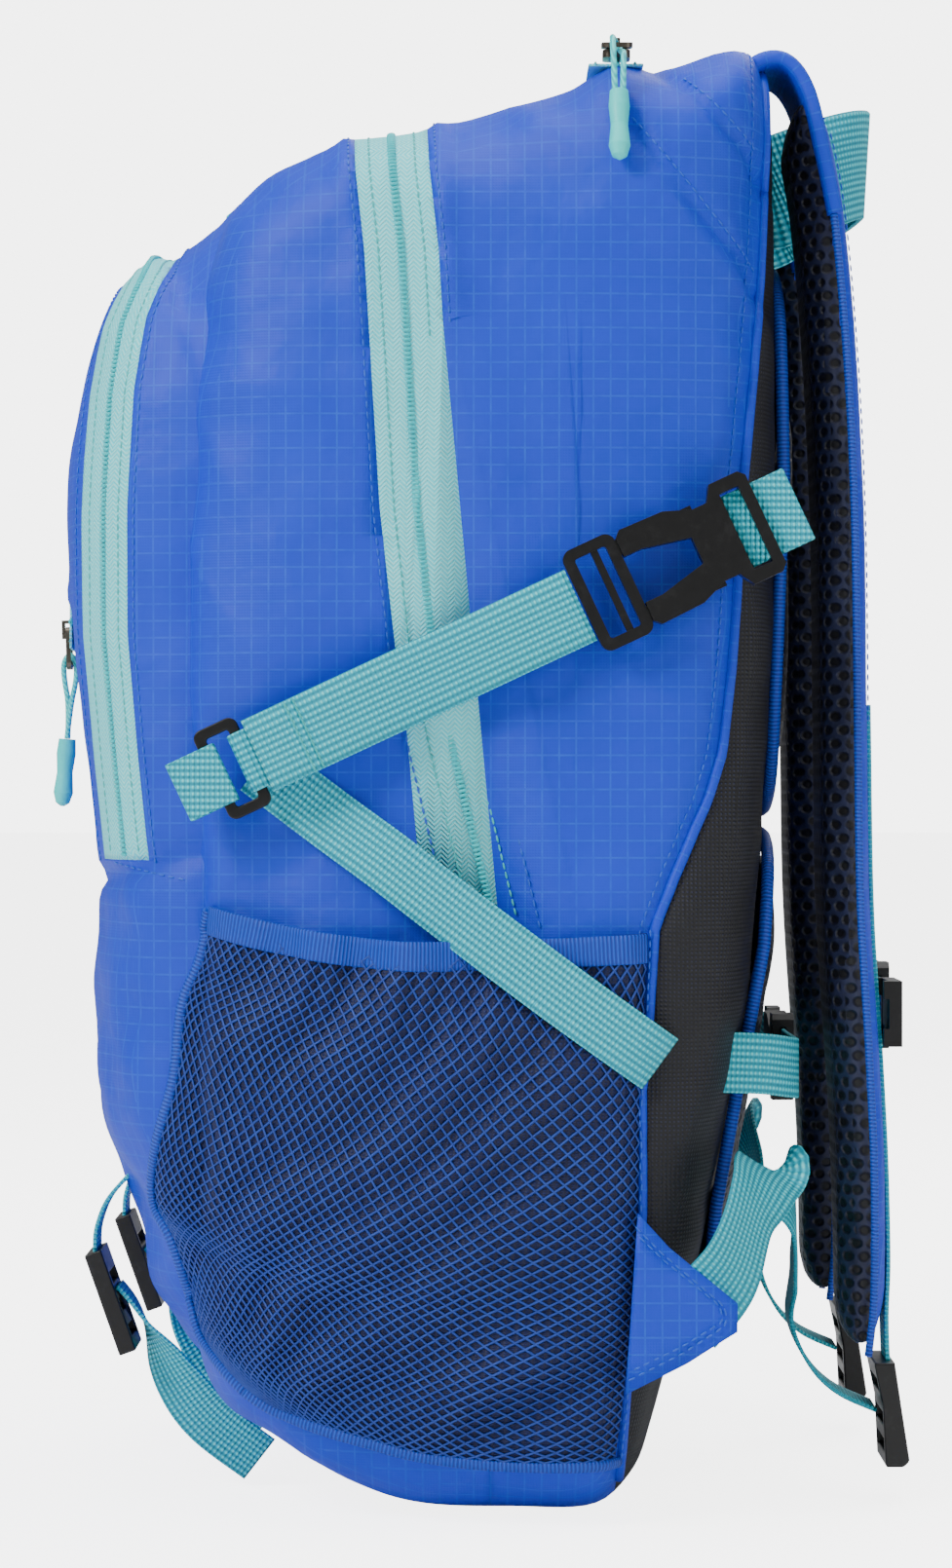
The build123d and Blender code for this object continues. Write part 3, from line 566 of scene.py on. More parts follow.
# ------------------------------------------------------------------ the bag's shape, side view in mm
MAIN_OUTLINE = [
    (-88, 36), (-70, 23), (-45, 9), (-21, 1.2), (10, 0), (38, 1), (51, 14), (60, 42), (76, 103), (86, 150),
    (91, 200), (94, 246), (97, 310), (98, 370), (98, 440), (96, 474), (89, 485), (62, 479), (33, 474),
    (2, 465), (-18, 459), (-40, 456), (-58, 450), (-76, 440), (-91, 415), (-101, 350), (-103, 270),
    (-103, 190), (-100, 100), (-96, 62),
]
POCKET_OUTLINE = [
    (-74, 440), (-90, 432), (-104, 422), (-113, 423), (-124, 412), (-132, 395), (-138, 368), (-142, 340),
    (-141, 300), (-136, 258), (-132, 216), (-133, 180), (-133, 150), (-130, 128), (-118, 98), (-110, 64),
    (-90, 36), (-74, 26), (-66, 60), (-62, 200), (-62, 380),
]
# the seam and zip lines give y at each height
BACK_SEAM = [
    (0, 43), (44, 46), (71, 49), (101, 51), (142, 51), (164, 53), (194, 55), (210, 61), (235, 72), (251, 77),
    (278, 80), (337, 84), (403, 90), (437, 92), (520, 93),
]
ZIP_LINE = [
    (196, 4), (225, -3), (250, -9), (285, -16), (330, -21), (380, -24), (413, -26), (440, -29), (456, -30),
    (520, -30),
]
POCKET_ZIP_LINE = [
    (217, -117.5), (250, -121), (290, -124.5), (330, -124.5), (370, -122.5), (395, -119), (412, -113),
    (424, -111), (460, -111),
]
MAIN_SPINE = ((2, 108), (6, 366))
POCKET_SPINE = ((-80, 150), (-80, 330))
ZIP_END = 196.0
POCKET_ZIP_END = 216.0
TAPE_HALF = 12.0
POCKET_TAPE_HALF = 8.5
# each long zip: its line, half tape, lower end, and the middle of the turn at the bag's upper corner
LONG_ZIPS = {
    "main": (ZIP_LINE, TAPE_HALF, ZIP_END, (100, 410)),
    "pocket": (POCKET_ZIP_LINE, POCKET_TAPE_HALF, POCKET_ZIP_END, (78, 385)),
}
BACK_CORNER = (104, 430)
STRAP_ANGLE = math.atan2(72, 154)
RING_Y, RING_Z = -80, 246


def spine_point(spine, z):
    (y0, z0), (y1, z1) = spine
    t = min(max((z - z0) / (z1 - z0), 0.0), 1.0)
    return y0 + (y1 - y0) * t, z0 + (z1 - z0) * t


def strap_distance(y, z):
    """Distance off the compression strap's line, in the side view, in mm."""
    return (z - RING_Z) * math.cos(STRAP_ANGLE) - (y - RING_Y) * math.sin(STRAP_ANGLE)


def main_wrinkle(x, y, z):
    """How far the main bag's cloth stands in or out, in mm."""
    p = Vector((x, y, z))
    lumps = noise.noise(p / 62.0 + Vector((3.1, 0, 0))) * 3.6
    small = noise.noise(p / 21.0 + Vector((0, 7.7, 0))) * 0.9
    off = strap_distance(y, z)
    side = smooth(90, 130, abs(x))
    pull = -2.5 * bump(off, 16) * side * smooth(-95, -60, y)
    seam = -2.6 * bump(y - along(BACK_SEAM, z), 5.0)
    edge = y - along(ZIP_LINE, z)
    zip_side = smooth(ZIP_END - 12, ZIP_END + 6, z)
    lips = (1.6 * bump(abs(edge) - TAPE_HALF - 3.5, 3.0) - 1.0 * bump(edge, TAPE_HALF - 2)) * zip_side
    ripple = math.sin(z / 5.2 + 2.2 * noise.noise(p / 30.0))
    pucker = 0.7 * ripple * bump(abs(edge) - TAPE_HALF - 5, 6.0) * zip_side
    folds = noise.noise(Vector((y / 70 + z / 90, z / 16 - y / 26, 0.3))) * 1.6 * side * smooth(330, 180, z)
    drag = noise.noise(Vector((y / 55, z / 34 + y / 60, x / 90 + 4.0)))
    folds += (0.5 - abs(drag) * 2.2) * 2.2 * side * smooth(250, 330, z) * (1 - bump(edge, 30))
    strips = bump((y - 43) * 0.76 + (z - 458) * 0.65, 2.6) + bump((y - 63) * 0.707 + (z - 469) * 0.707, 2.2)
    folds -= 2.4 * strips * side * smooth(38, 46, y)
    crease = -3.0 * bump(y + 97 + 0.04 * (z - 260), 5.0) * smooth(60, 110, abs(x)) * smooth(60, 140, z)
    top_zip = 4.2 * bump(y - 44, 13) * smooth(88, 118, abs(x)) * smooth(430, 462, z)
    base = smooth(0, 22, z)
    flat_top = smooth(425, 445, z) * smooth(125, 100, abs(x)) * smooth(60, 40, y)
    calm = 1 - 0.85 * max(bump(y - 44, 22) * smooth(430, 462, z), flat_top)
    return ((lumps + small) * calm + pull + seam + lips + pucker + folds + crease + top_zip) * base


def pocket_wrinkle(x, y, z):
    """How far the front pocket's cloth stands in or out, in mm."""
    p = Vector((x, y, z))
    lumps = noise.noise(p / 55.0 + Vector((9.0, 2.0, 0))) * 3.2
    small = noise.noise(p / 17.0 + Vector((0, 1.3, 5.0))) * 1.1
    edge = y - along(POCKET_ZIP_LINE, z)
    zip_side = smooth(POCKET_ZIP_END - 8, POCKET_ZIP_END + 8, z)
    lips = 0.9 * bump(abs(edge) - POCKET_TAPE_HALF - 3, 2.6) - 0.6 * bump(edge, POCKET_TAPE_HALF - 2)
    seam = -3.0 * bump(z - 212 - 0.25 * (y + 120), 3.5) * smooth(-60, -100, y)
    folds = noise.noise(Vector((x / 30 + z / 60, z / 22, y / 40))) * 2.4 * smooth(240, 150, z)
    flap = 1.4 * bump(z - 305, 5) * smooth(90, 70, abs(x)) * smooth(-110, -130, y)
    calm = 1 - 0.9 * bump(edge, 18) * zip_side
    return ((lumps + small + folds) * calm + lips * zip_side + seam + flap) * smooth(20, 60, z)


def bag_rows(outline, spine, half, power, wrinkle, around, across, bulge):
    """Closed bag surface: the side outline drawn in towards a spine as it goes out to each side."""
    ring = even_curve([(y, z, 0) for y, z in outline], around, True)
    rows = []
    for k in range(across + 1):
        limit = math.pi / 2 - 0.012
        turn = min(max(math.pi * k / across - math.pi / 2, -limit), limit)
        share = abs(math.cos(turn)) ** (2 / power)
        out = math.copysign(abs(math.sin(turn)) ** (2 / power), turn)
        row = []
        for point in ring:
            sy, sz = spine_point(spine, point.y)
            x = half * out * (1 - bulge * share * share)
            row.append(Vector((x, sy + (point.x - sy) * share, sz + (point.y - sz) * share)))
        rows.append(row)
    return push_out(rows, wrinkle)


def push_out(rows, wrinkle):
    """Moves each point along the surface normal by the wrinkle height."""
    count = len(rows)
    width = len(rows[0])
    result = []
    for i, row in enumerate(rows):
        fresh = []
        for j, p in enumerate(row):
            up = rows[min(i + 1, count - 1)][j] - rows[max(i - 1, 0)][j]
            side = row[(j + 1) % width] - row[(j - 1) % width]
            normal = side.cross(up)
            if normal.length < 1e-9:
                normal = Vector((1 if i > count / 2 else -1, 0, 0))
            normal.normalize()
            fresh.append((p + normal * wrinkle(p.x, p.y, p.z)) * MM)
        result.append(fresh)
    return result


def close_poles(bm):
    """Closes the two small end rings."""
    rims = [e for e in bm.edges if e.is_boundary]
    bmesh.ops.holes_fill(bm, edges=rims, sides=0)
    bmesh.ops.recalc_face_normals(bm, faces=bm.faces)


# the bag's surfaces, kept to seat straps, stitches and pockets on
SKIN = {}


def on_skin(y, z, side=1, lift=0.0):
    """A point on the bag's side at this place of the side view, lifted off it by some mm."""
    start = Vector((side * 0.3, y * MM, z * MM))
    hit, normal, _, _ = SKIN["tree"].ray_cast(start, Vector((-side, 0, 0)))
    if hit is None:
        return Vector((side * 0.15, y * MM, z * MM))
    return hit + Vector((side * lift * MM, 0, 0))


class DAYPACK_OT_bag(bpy.types.Operator):
    """Make the bag's cloth panels and zip tapes"""

    bl_idname = "daypack.bag"
    bl_label = "Bag panels"

    def execute(self, context):
        settings = context.scene.daypack
        half = settings.half_width / MM
        fine = 2
        main = bag_rows(MAIN_OUTLINE, MAIN_SPINE, half, 7.0, main_wrinkle, 170 * fine, 64 * fine, 0.03)
        half = settings.pocket_half / MM
        pocket = bag_rows(
            POCKET_OUTLINE, POCKET_SPINE, half, 3.6, pocket_wrinkle, 130 * fine, 56 * fine, 0.02)
        main_bm = grid_mesh(main, close_v=True)
        close_poles(main_bm)
        pocket_bm = grid_mesh(pocket, close_v=True)
        close_poles(pocket_bm)
        both = bmesh.new()
        for source in (main_bm, pocket_bm):
            mesh = bpy.data.meshes.new("skin")
            source.to_mesh(mesh)
            both.from_mesh(mesh)
            bpy.data.meshes.remove(mesh)
        SKIN["tree"] = BVHTree.FromBMesh(both)
        both.free()
        self.main_panels(main_bm)
        self.pocket_panels(pocket_bm)
        return {"FINISHED"}

    def main_panels(self, bm):
        def back(co):
            return co.y / MM - along(BACK_SEAM, co.z / MM)

        def zip_off(co):
            return co.y / MM - along(ZIP_LINE, co.z / MM)

        for offset in (-TAPE_HALF, TAPE_HALF):
            cut_where(bm, lambda co, o=offset: zip_off(co) - o)
        cut_where(bm, back)
        cut_where(bm, lambda co: co.z / MM - ZIP_END)

        def in_tape(co):
            return abs(zip_off(co)) < TAPE_HALF and co.z / MM > ZIP_END

        cloth_panels(bm, {
            "back_panel_cloth": (lambda co: back(co) > 0, "oxford", ["back_panel"]),
            "shell_behind_zip": (
                lambda co: back(co) < 0 and zip_off(co) > 0 and not in_tape(co), "ripstop",
                ["side_panel_left", "side_panel_right"]),
            "shell_before_zip": (
                lambda co: back(co) < 0 and zip_off(co) < 0 and not in_tape(co), "ripstop", ["main_gusset"]),
            "main_zip_tape": (in_tape, "tape", ["main_zip"]),
        })

    def pocket_panels(self, bm):
        def zip_off(co):
            return co.y / MM - along(POCKET_ZIP_LINE, co.z / MM)

        for offset in (-POCKET_TAPE_HALF, POCKET_TAPE_HALF):
            cut_where(bm, lambda co, o=offset: zip_off(co) - o)
        cut_where(bm, lambda co: co.z / MM - POCKET_ZIP_END)
        keep_where(bm, lambda co: co.y / MM < -74)

        def in_tape(co):
            return abs(zip_off(co)) < POCKET_TAPE_HALF and co.z / MM > POCKET_ZIP_END

        cloth_panels(bm, {
            "front_pocket_cloth": (lambda co: not in_tape(co), "ripstop", ["front_pocket"]),
            "pocket_zip_tape": (in_tape, "tape", ["pocket_zip"]),
        })


# ------------------------------------------------------------------ soft bands, tubes and copies
def body_of(node):
    """The body that a CAD node belongs to."""
    for name, nodes in frame["record"]["behaviour"]["bodies"].items():
        if node in nodes:
            return name
    raise RuntimeError(f"no body holds {node}")


def softened(node, material, edge, turned=False):
    """A copy of a CAD node with its edges rounded as a mould or a loom leaves them."""
    bm = bmesh.new()
    bm.from_mesh(frame["nodes"][node].data)
    bmesh.ops.remove_doubles(bm, verts=bm.verts, dist=1e-6)
    bmesh.ops.dissolve_limit(bm, angle_limit=math.radians(1.5), verts=bm.verts, edges=bm.edges)
    bmesh.ops.recalc_face_normals(bm, faces=bm.faces)
    piece = finish_piece(node + "_made", bm, material, body=body_of(node))
    round_edges = piece.modifiers.new("edges", "BEVEL")
    round_edges.width = edge * MM
    round_edges.segments = 3
    round_edges.limit_method = "ANGLE"
    round_edges.angle_limit = math.radians(35)
    piece.modifiers.new("even", "WEIGHTED_NORMAL")
    baked(piece)
    if turned:
        for item in piece.data.uv_layers[0].data:
            item.uv = (item.uv.y, item.uv.x)
    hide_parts(node)


def dress(node, material):
    """Gives a CAD node its material."""
    data = frame["nodes"][node].data
    data.materials.clear()
    data.materials.append(MATERIALS[material])


# how far across a band each corner of its cross-section lies, as a share of its width
BAND_ACROSS = (0, 0.04, 0.25, 0.5, 0.75, 0.96, 1, 1, 0.96, 0.75, 0.5, 0.25, 0.04, 0)


def band_ring(wide, thick):
    """Corners of a flat band's cross-section, across and out, with its edges rounded."""
    h = wide / 2
    t = thick / 2
    under = [(-h, -t * 0.5), (-h + t * 0.5, -t), (-h * 0.5, -t), (0, -t), (h * 0.5, -t), (h - t * 0.5, -t),
             (h, -t * 0.5)]
    return under + [(a, -b) for a, b in reversed(under)]


def band_rows(path, across, width, thick, samples):
    """Cross-section rings of a flat band along a smooth path, with where each lies along it."""
    centres = even_curve(path, samples)
    turns = [curve_point(across, i / (samples - 1)) for i in range(samples)]
    rows = []
    run = 0.0
    runs = []
    for i, centre in enumerate(centres):
        ahead = centres[min(i + 1, samples - 1)] - centres[max(i - 1, 0)]
        ahead.normalize()
        side = turns[i] - ahead * turns[i].dot(ahead)
        side.normalize()
        out = ahead.cross(side)
        wide = width(i / (samples - 1)) if callable(width) else width
        if i:
            run += (centre - centres[i - 1]).length
        runs.append(run)
        rows.append([centre + side * a + out * b for a, b in band_ring(wide, thick)])
    return rows, runs


def ribbon(name, path, across, width, thick=WEB_THICK, material="webbing", body="pack", nodes=(),
           samples=60, mirror=False):
    """A woven band along a path; its UVs run across and along it in metres."""
    path = [Vector(p) for p in path]
    across = [Vector(a) for a in across] if isinstance(across, list) else [Vector(across)] * 2
    rows, runs = band_rows(path, across, width, thick, samples)
    wide = width(0.5) if callable(width) else width
    corners = len(BAND_ACROSS)
    bm = grid_mesh(rows, close_v=True, uv=lambda a, b: (BAND_ACROSS[b % corners] * wide, runs[a % len(rows)]))
    for ring in (0, -1):
        bm.faces.ensure_lookup_table()
        edges = [e for e in bm.edges if e.is_boundary and
                 min((e.verts[0].co - q).length for q in rows[ring]) < TOUCH]
        bmesh.ops.holes_fill(bm, edges=edges, sides=0)
    bmesh.ops.recalc_face_normals(bm, faces=bm.faces)
    if mirror:
        for vert in bm.verts:
            vert.co.x = -vert.co.x
        bmesh.ops.reverse_faces(bm, faces=bm.faces)
    piece = finish_piece(name, bm, material, body=body)
    if nodes:
        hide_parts(*nodes)
    return piece


def tube(name, line, radius, material, body="pack", flat=1.0, sides=10):
    """A round or flattened tube through points with normals; UVs run round and along it in metres."""
    points = [Vector(p) for p, _ in line]
    outs = [Vector(n) for _, n in line]
    rows = []
    runs = [0.0]
    for i, centre in enumerate(points):
        ahead = points[min(i + 1, len(points) - 1)] - points[max(i - 1, 0)]
        ahead.normalize()
        out = outs[i] - ahead * outs[i].dot(ahead)
        out.normalize()
        side = ahead.cross(out)
        rows.append([centre + (out * math.cos(a) * flat + side * math.sin(a)) * radius
                     for a in (math.tau * k / sides for k in range(sides))])
        if i:
            runs.append(runs[-1] + (centre - points[i - 1]).length)
    bm = grid_mesh(rows, close_v=True, uv=lambda a, b: (b / sides * math.tau * radius, runs[a % len(rows)]))
    bmesh.ops.holes_fill(bm, edges=[e for e in bm.edges if e.is_boundary], sides=0)
    bmesh.ops.recalc_face_normals(bm, faces=bm.faces)
    finish_piece(name, bm, material, body=body)


# ------------------------------------------------------------------ rows of stitches and teeth
def row_group():
    """Geometry Nodes: sets a small rounded piece every pitch along polylines, turned to face outwards."""
    group = bpy.data.node_groups.new("row_of_pieces", "GeometryNodeTree")
    face = group.interface
    face.new_socket("Lines", in_out="INPUT", socket_type="NodeSocketGeometry")
    face.new_socket("Pitch", in_out="INPUT", socket_type="NodeSocketFloat").default_value = 0.003
    face.new_socket("Size", in_out="INPUT", socket_type="NodeSocketVector")
    face.new_socket("Offset", in_out="INPUT", socket_type="NodeSocketVector")
    face.new_socket("Turn", in_out="INPUT", socket_type="NodeSocketFloat").default_value = 0.0
    face.new_socket("Material", in_out="INPUT", socket_type="NodeSocketMaterial")
    face.new_socket("Pieces", in_out="OUTPUT", socket_type="NodeSocketGeometry")
    taken = add(group, "NodeGroupInput")
    curve = add(group, "GeometryNodeMeshToCurve", Mesh=taken.outputs["Lines"])
    even = add(group, "GeometryNodeResampleCurve", {"mode": "LENGTH"}, Curve=curve.outputs[0],
               Length=taken.outputs["Pitch"])
    tangent = add(group, "GeometryNodeInputTangent")
    first = add(group, "FunctionNodeAlignRotationToVector", {"axis": "X"}, Vector=tangent.outputs[0])
    out = add(group, "GeometryNodeInputNamedAttribute", {"data_type": "FLOAT_VECTOR"}, Name="out")
    second = add(group, "FunctionNodeAlignRotationToVector", {"axis": "Z", "pivot_axis": "X"},
                 Rotation=first.outputs[0], Vector=out.outputs[0])
    ball = add(group, "GeometryNodeMeshIcoSphere", Radius=0.5, Subdivisions=2)
    placed = add(group, "GeometryNodeInstanceOnPoints", Points=even.outputs[0], Instance=ball.outputs[0],
                 Rotation=second.outputs[0], Scale=taken.outputs["Size"])
    spin = add(group, "ShaderNodeCombineXYZ", Z=taken.outputs["Turn"])
    turned = add(group, "GeometryNodeRotateInstances", Instances=placed.outputs[0], Rotation=spin.outputs[0])
    moved = add(group, "GeometryNodeTranslateInstances", Instances=turned.outputs[0],
                Translation=taken.outputs["Offset"])
    real = add(group, "GeometryNodeRealizeInstances", Geometry=moved.outputs[0])
    painted = add(group, "GeometryNodeSetMaterial", Geometry=real.outputs[0],
                  Material=taken.outputs["Material"])
    add(group, "NodeGroupOutput", Pieces=painted.outputs[0])
    return group


ROW_GROUP = []


def row(name, lines, pitch, size, material, body="pack", offset=(0, 0, 0), turn=0.0):
    """Small pieces in rows: each line is a list of (place, way out). Sizes are in metres."""
    if not ROW_GROUP:
        ROW_GROUP.append(row_group())
    mesh = bpy.data.meshes.new(name)
    places = []
    edges = []
    outs = []
    for line in lines:
        base = len(places)
        places += [tuple(p) for p, _ in line]
        outs += [tuple(n) for _, n in line]
        edges += [(base + i, base + i + 1) for i in range(len(line) - 1)]
    mesh.from_pydata(places, edges, [])
    layer = mesh.attributes.new("out", "FLOAT_VECTOR", "POINT")
    for item, value in zip(layer.data, outs):
        item.vector = value
    piece = bpy.data.objects.new(name, mesh)
    bpy.context.scene.collection.objects.link(piece)
    maker = piece.modifiers.new("rows", "NODES")
    maker.node_group = ROW_GROUP[0]
    sockets = {i.name: i.identifier for i in ROW_GROUP[0].interface.items_tree if i.in_out == "INPUT"}
    values = {"Pitch": pitch, "Size": size, "Offset": offset, "Turn": turn, "Material": MATERIALS[material]}
    for key, value in values.items():
        maker[sockets[key]] = value
    bpy.context.view_layer.update()
    baked(piece)
    piece.data.shade_smooth()
    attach(piece, body)
    return piece


def stitches(name, lines, material="blue_thread", body="pack", pitch=3.4 * MM):
    return row(name, lines, pitch, (2.5 * MM, 0.75 * MM, 0.6 * MM), material, body)


# casts from one side: this many up the side, round the turn and in along the top, from this far off
CASTS_UP, CASTS_ROUND, CASTS_IN = 104, 31, 26
SIDE_OFF, TURN_OFF = 400, 300


def half_casts(start_z, corner):
    """Where casts towards one half of the bag start, and their ways."""
    cx, cz = corner
    casts = [((SIDE_OFF, start_z + (cz - start_z) * k / CASTS_UP), (-1, 0)) for k in range(CASTS_UP)]
    for k in range(CASTS_ROUND):
        a = math.pi / 2 * k / CASTS_ROUND
        out, up = math.cos(a), math.sin(a)
        casts.append(((cx + TURN_OFF * out, cz + TURN_OFF * up), (-out, -up)))
    casts += [((cx - cx * k / CASTS_IN, cz + TURN_OFF), (0, -1)) for k in range(CASTS_IN)]
    return casts


def skin_line(table, offset, start_z, corner, lift=0.4):
    """Places and normals along the bag where y follows the table: up one side, over the top and down."""
    half = half_casts(start_z, corner)
    other = [((-x, z), (-dx, dz)) for (x, z), (dx, dz) in reversed(half)]
    line = []
    for (x, z), (dx, dz) in half + [((0, corner[1] + TURN_OFF), (0, -1))] + other:
        y = along(table, z) + offset
        # y depends on the height that is met, so each place is cast for again
        for _ in range(3):
            hit, normal, _, _ = SKIN["tree"].ray_cast(Vector((x, y, z)) * MM, Vector((dx, 0, dz)))
            if hit is None:
                break
            y = along(table, hit.z / MM) + offset
        if hit is not None:
            line.append((hit + normal * lift * MM, normal))
    return line


def side_line(points, side=1, lift=0.4, count=80):
    """Places and normals along a drawn line of the side view, laid on the bag's side."""
    line = []
    for p in even_curve([(y, z, 0) for y, z in points], count):
        start = Vector((side * 0.3, p.x * MM, p.y * MM))
        hit, normal, _, _ = SKIN["tree"].ray_cast(start, Vector((-side, 0, 0)))
        if hit is not None:
            line.append((hit + normal * lift * MM, normal))
    return line


# short seams on each side of the bag, in side view, with how many places each takes
SIDE_SEAMS = (
    ([(45, 460), (67, 434), (88, 409)], 40),
    ([(66, 470), (88, 448)], 30),
    ([(-121, 215), (-108, 212), (-98, 210)], 30),
)
# each short zip: half its length, the y and z that casts start at, their way, and the way across the tape
SHORT_ZIPS = {
    "rear": (126, (44, 600), (0, 0, -1), (0, 1, 0)),
    "front": (74, (-300, 296), (0, 1, 0), (0, 0, 1)),
}
COIL_PITCH = 1.5 * MM


class DAYPACK_OT_seams(bpy.types.Operator):
    """Make the zip coils, seams and stitch rows"""

    bl_idname = "daypack.seams"
    bl_label = "Zips and seams"

    def execute(self, context):
        seams = []
        inner = []
        for name, (table, half, end, corner) in LONG_ZIPS.items():
            line = skin_line(table, 0, end + 2, corner)
            for tag, way in (("a", 1), ("b", -1)):
                row(f"{name}_zip_coil_{tag}", [line], COIL_PITCH, (1.1 * MM, 2.9 * MM, 1.6 * MM), "coil",
                    offset=(0, way * 1.25 * MM, 0.3 * MM), turn=way * 0.12)
            for way in (-1, 1):
                seams.append(skin_line(table, way * (half + 2.2), end, corner, 0.2))
                inner.append(skin_line(table, way * half * 0.62, end + 4, corner, 0.1))
        seams.append(skin_line(BACK_SEAM, -4.5, 24, BACK_CORNER, 0.2))
        for side, _ in SIDES:
            seams += [side_line(points, side, 0.2, count) for points, count in SIDE_SEAMS]
        stitches("seam_stitches", seams)
        stitches("tape_stitches", inner, "aqua_thread", pitch=3.0 * MM)
        tube("back_piping", skin_line(BACK_SEAM, 0.5, 14, BACK_CORNER, 0.3), 1.7 * MM, "ripstop")
        for name, sizes in SHORT_ZIPS.items():
            self.short_zip(f"{name}_zip_tape", *sizes)
        return {"FINISHED"}

    def short_zip(self, name, reach, start, way, across):
        """One of the short zips that cross the top and the front pocket."""
        line = []
        for k in range(61):
            begin = mm(reach * (k / 30 - 1), *start)
            hit, normal, _, _ = SKIN["tree"].ray_cast(begin, Vector(way))
            line.append((hit + normal * 0.7 * MM, normal))
        ribbon(name, [p for p, _ in line][::6], across, 18 * MM, 0.9 * MM, "tape", nodes=["short_zips"],
               samples=80)
        for tag, turned in (("a", 1), ("b", -1)):
            row(f"{name}_coil_{tag}", [line], COIL_PITCH, (1.1 * MM, 2.8 * MM, 1.6 * MM), "coil",
                offset=(0, turned * 1.2 * MM, 0.8 * MM))
        rows = [[(p + n * 0.4 * MM + Vector(across) * d * MM, n) for p, n in line] for d in (-6.5, 6.5)]
        stitches(f"{name}_stitches", rows, "aqua_thread")


# ------------------------------------------------------------------ side pockets
POCKET_LEFT = [
    (-76, 44), (-90, 58), (-95, 72), (-101, 92), (-107, 104), (-106, 122), (-100, 145), (-97, 169),
    (-91, 184), (-88, 200),
]
POCKET_RIGHT = [(43, 21), (46, 46), (48, 73), (50, 103), (51, 143), (53, 193)]
POCKET_BOTTOM = [(-76, 44), (-66, 38), (-45, 31), (-9, 23), (43, 21)]
POCKET_TOP = [(-88, 200), (-60, 194), (-25, 190), (14, 191), (53, 193)]
POCKET_WIDE = 0.148
POCKET_TALL = 0.165


def patch_point(a, b):
    """A place of the side view inside the pocket: a runs left to right, b bottom to top."""
    left = curve_point([(y, z, 0) for y, z in POCKET_LEFT], b)
    right = curve_point([(y, z, 0) for y, z in POCKET_RIGHT], b)
    low = curve_point([(y, z, 0) for y, z in POCKET_BOTTOM], a)
    high = curve_point([(y, z, 0) for y, z in POCKET_TOP], a)
    corners = (Vector((*POCKET_LEFT[0], 0)), Vector((*POCKET_RIGHT[0], 0)),
               Vector((*POCKET_LEFT[-1], 0)), Vector((*POCKET_RIGHT[-1], 0)))
    flat = (left * (1 - a) + right * a) + (low * (1 - b) + high * b)
    flat -= (corners[0] * (1 - a) + corners[1] * a) * (1 - b) + (corners[2] * (1 - a) + corners[3] * a) * b
    return flat


def pocket_place(a, b, side, lift=0.0):
    """A place on the mesh pocket, standing off the bag more towards its open top."""
    flat = patch_point(a, b)
    y, z = flat.x, flat.y
    room = math.sin(math.pi * min(max(a, 0), 1)) ** 0.7
    rise = smooth(0.0, 0.35, b) * (0.55 + 0.45 * b)
    folds = noise.noise(Vector((a * 2.2 + b * 1.5, (b - a * 0.9) * 5.2, side * 3.0))) * 4.2
    folds += math.sin((b * 1.25 - a * 1.5) * 19 + 3.0 * noise.noise(Vector((a * 3, b * 3, 0)))) * 1.3
    gather = math.sin(a * 92 + 2 * noise.noise(Vector((a * 9, 0, 0)))) * 0.8 * smooth(0.72, 0.98, b)
    under_leg = 0.85 * bump((y + 72) * 0.597 + (z - 247) * 0.802, 15)
    loose = 9.0 * rise + folds * 1.35 * smooth(0, 0.2, b) + gather
    stand = 1.4 + room * loose * (1 - under_leg)
    return on_skin(y, z, side, max(stand, 1.2) + lift)


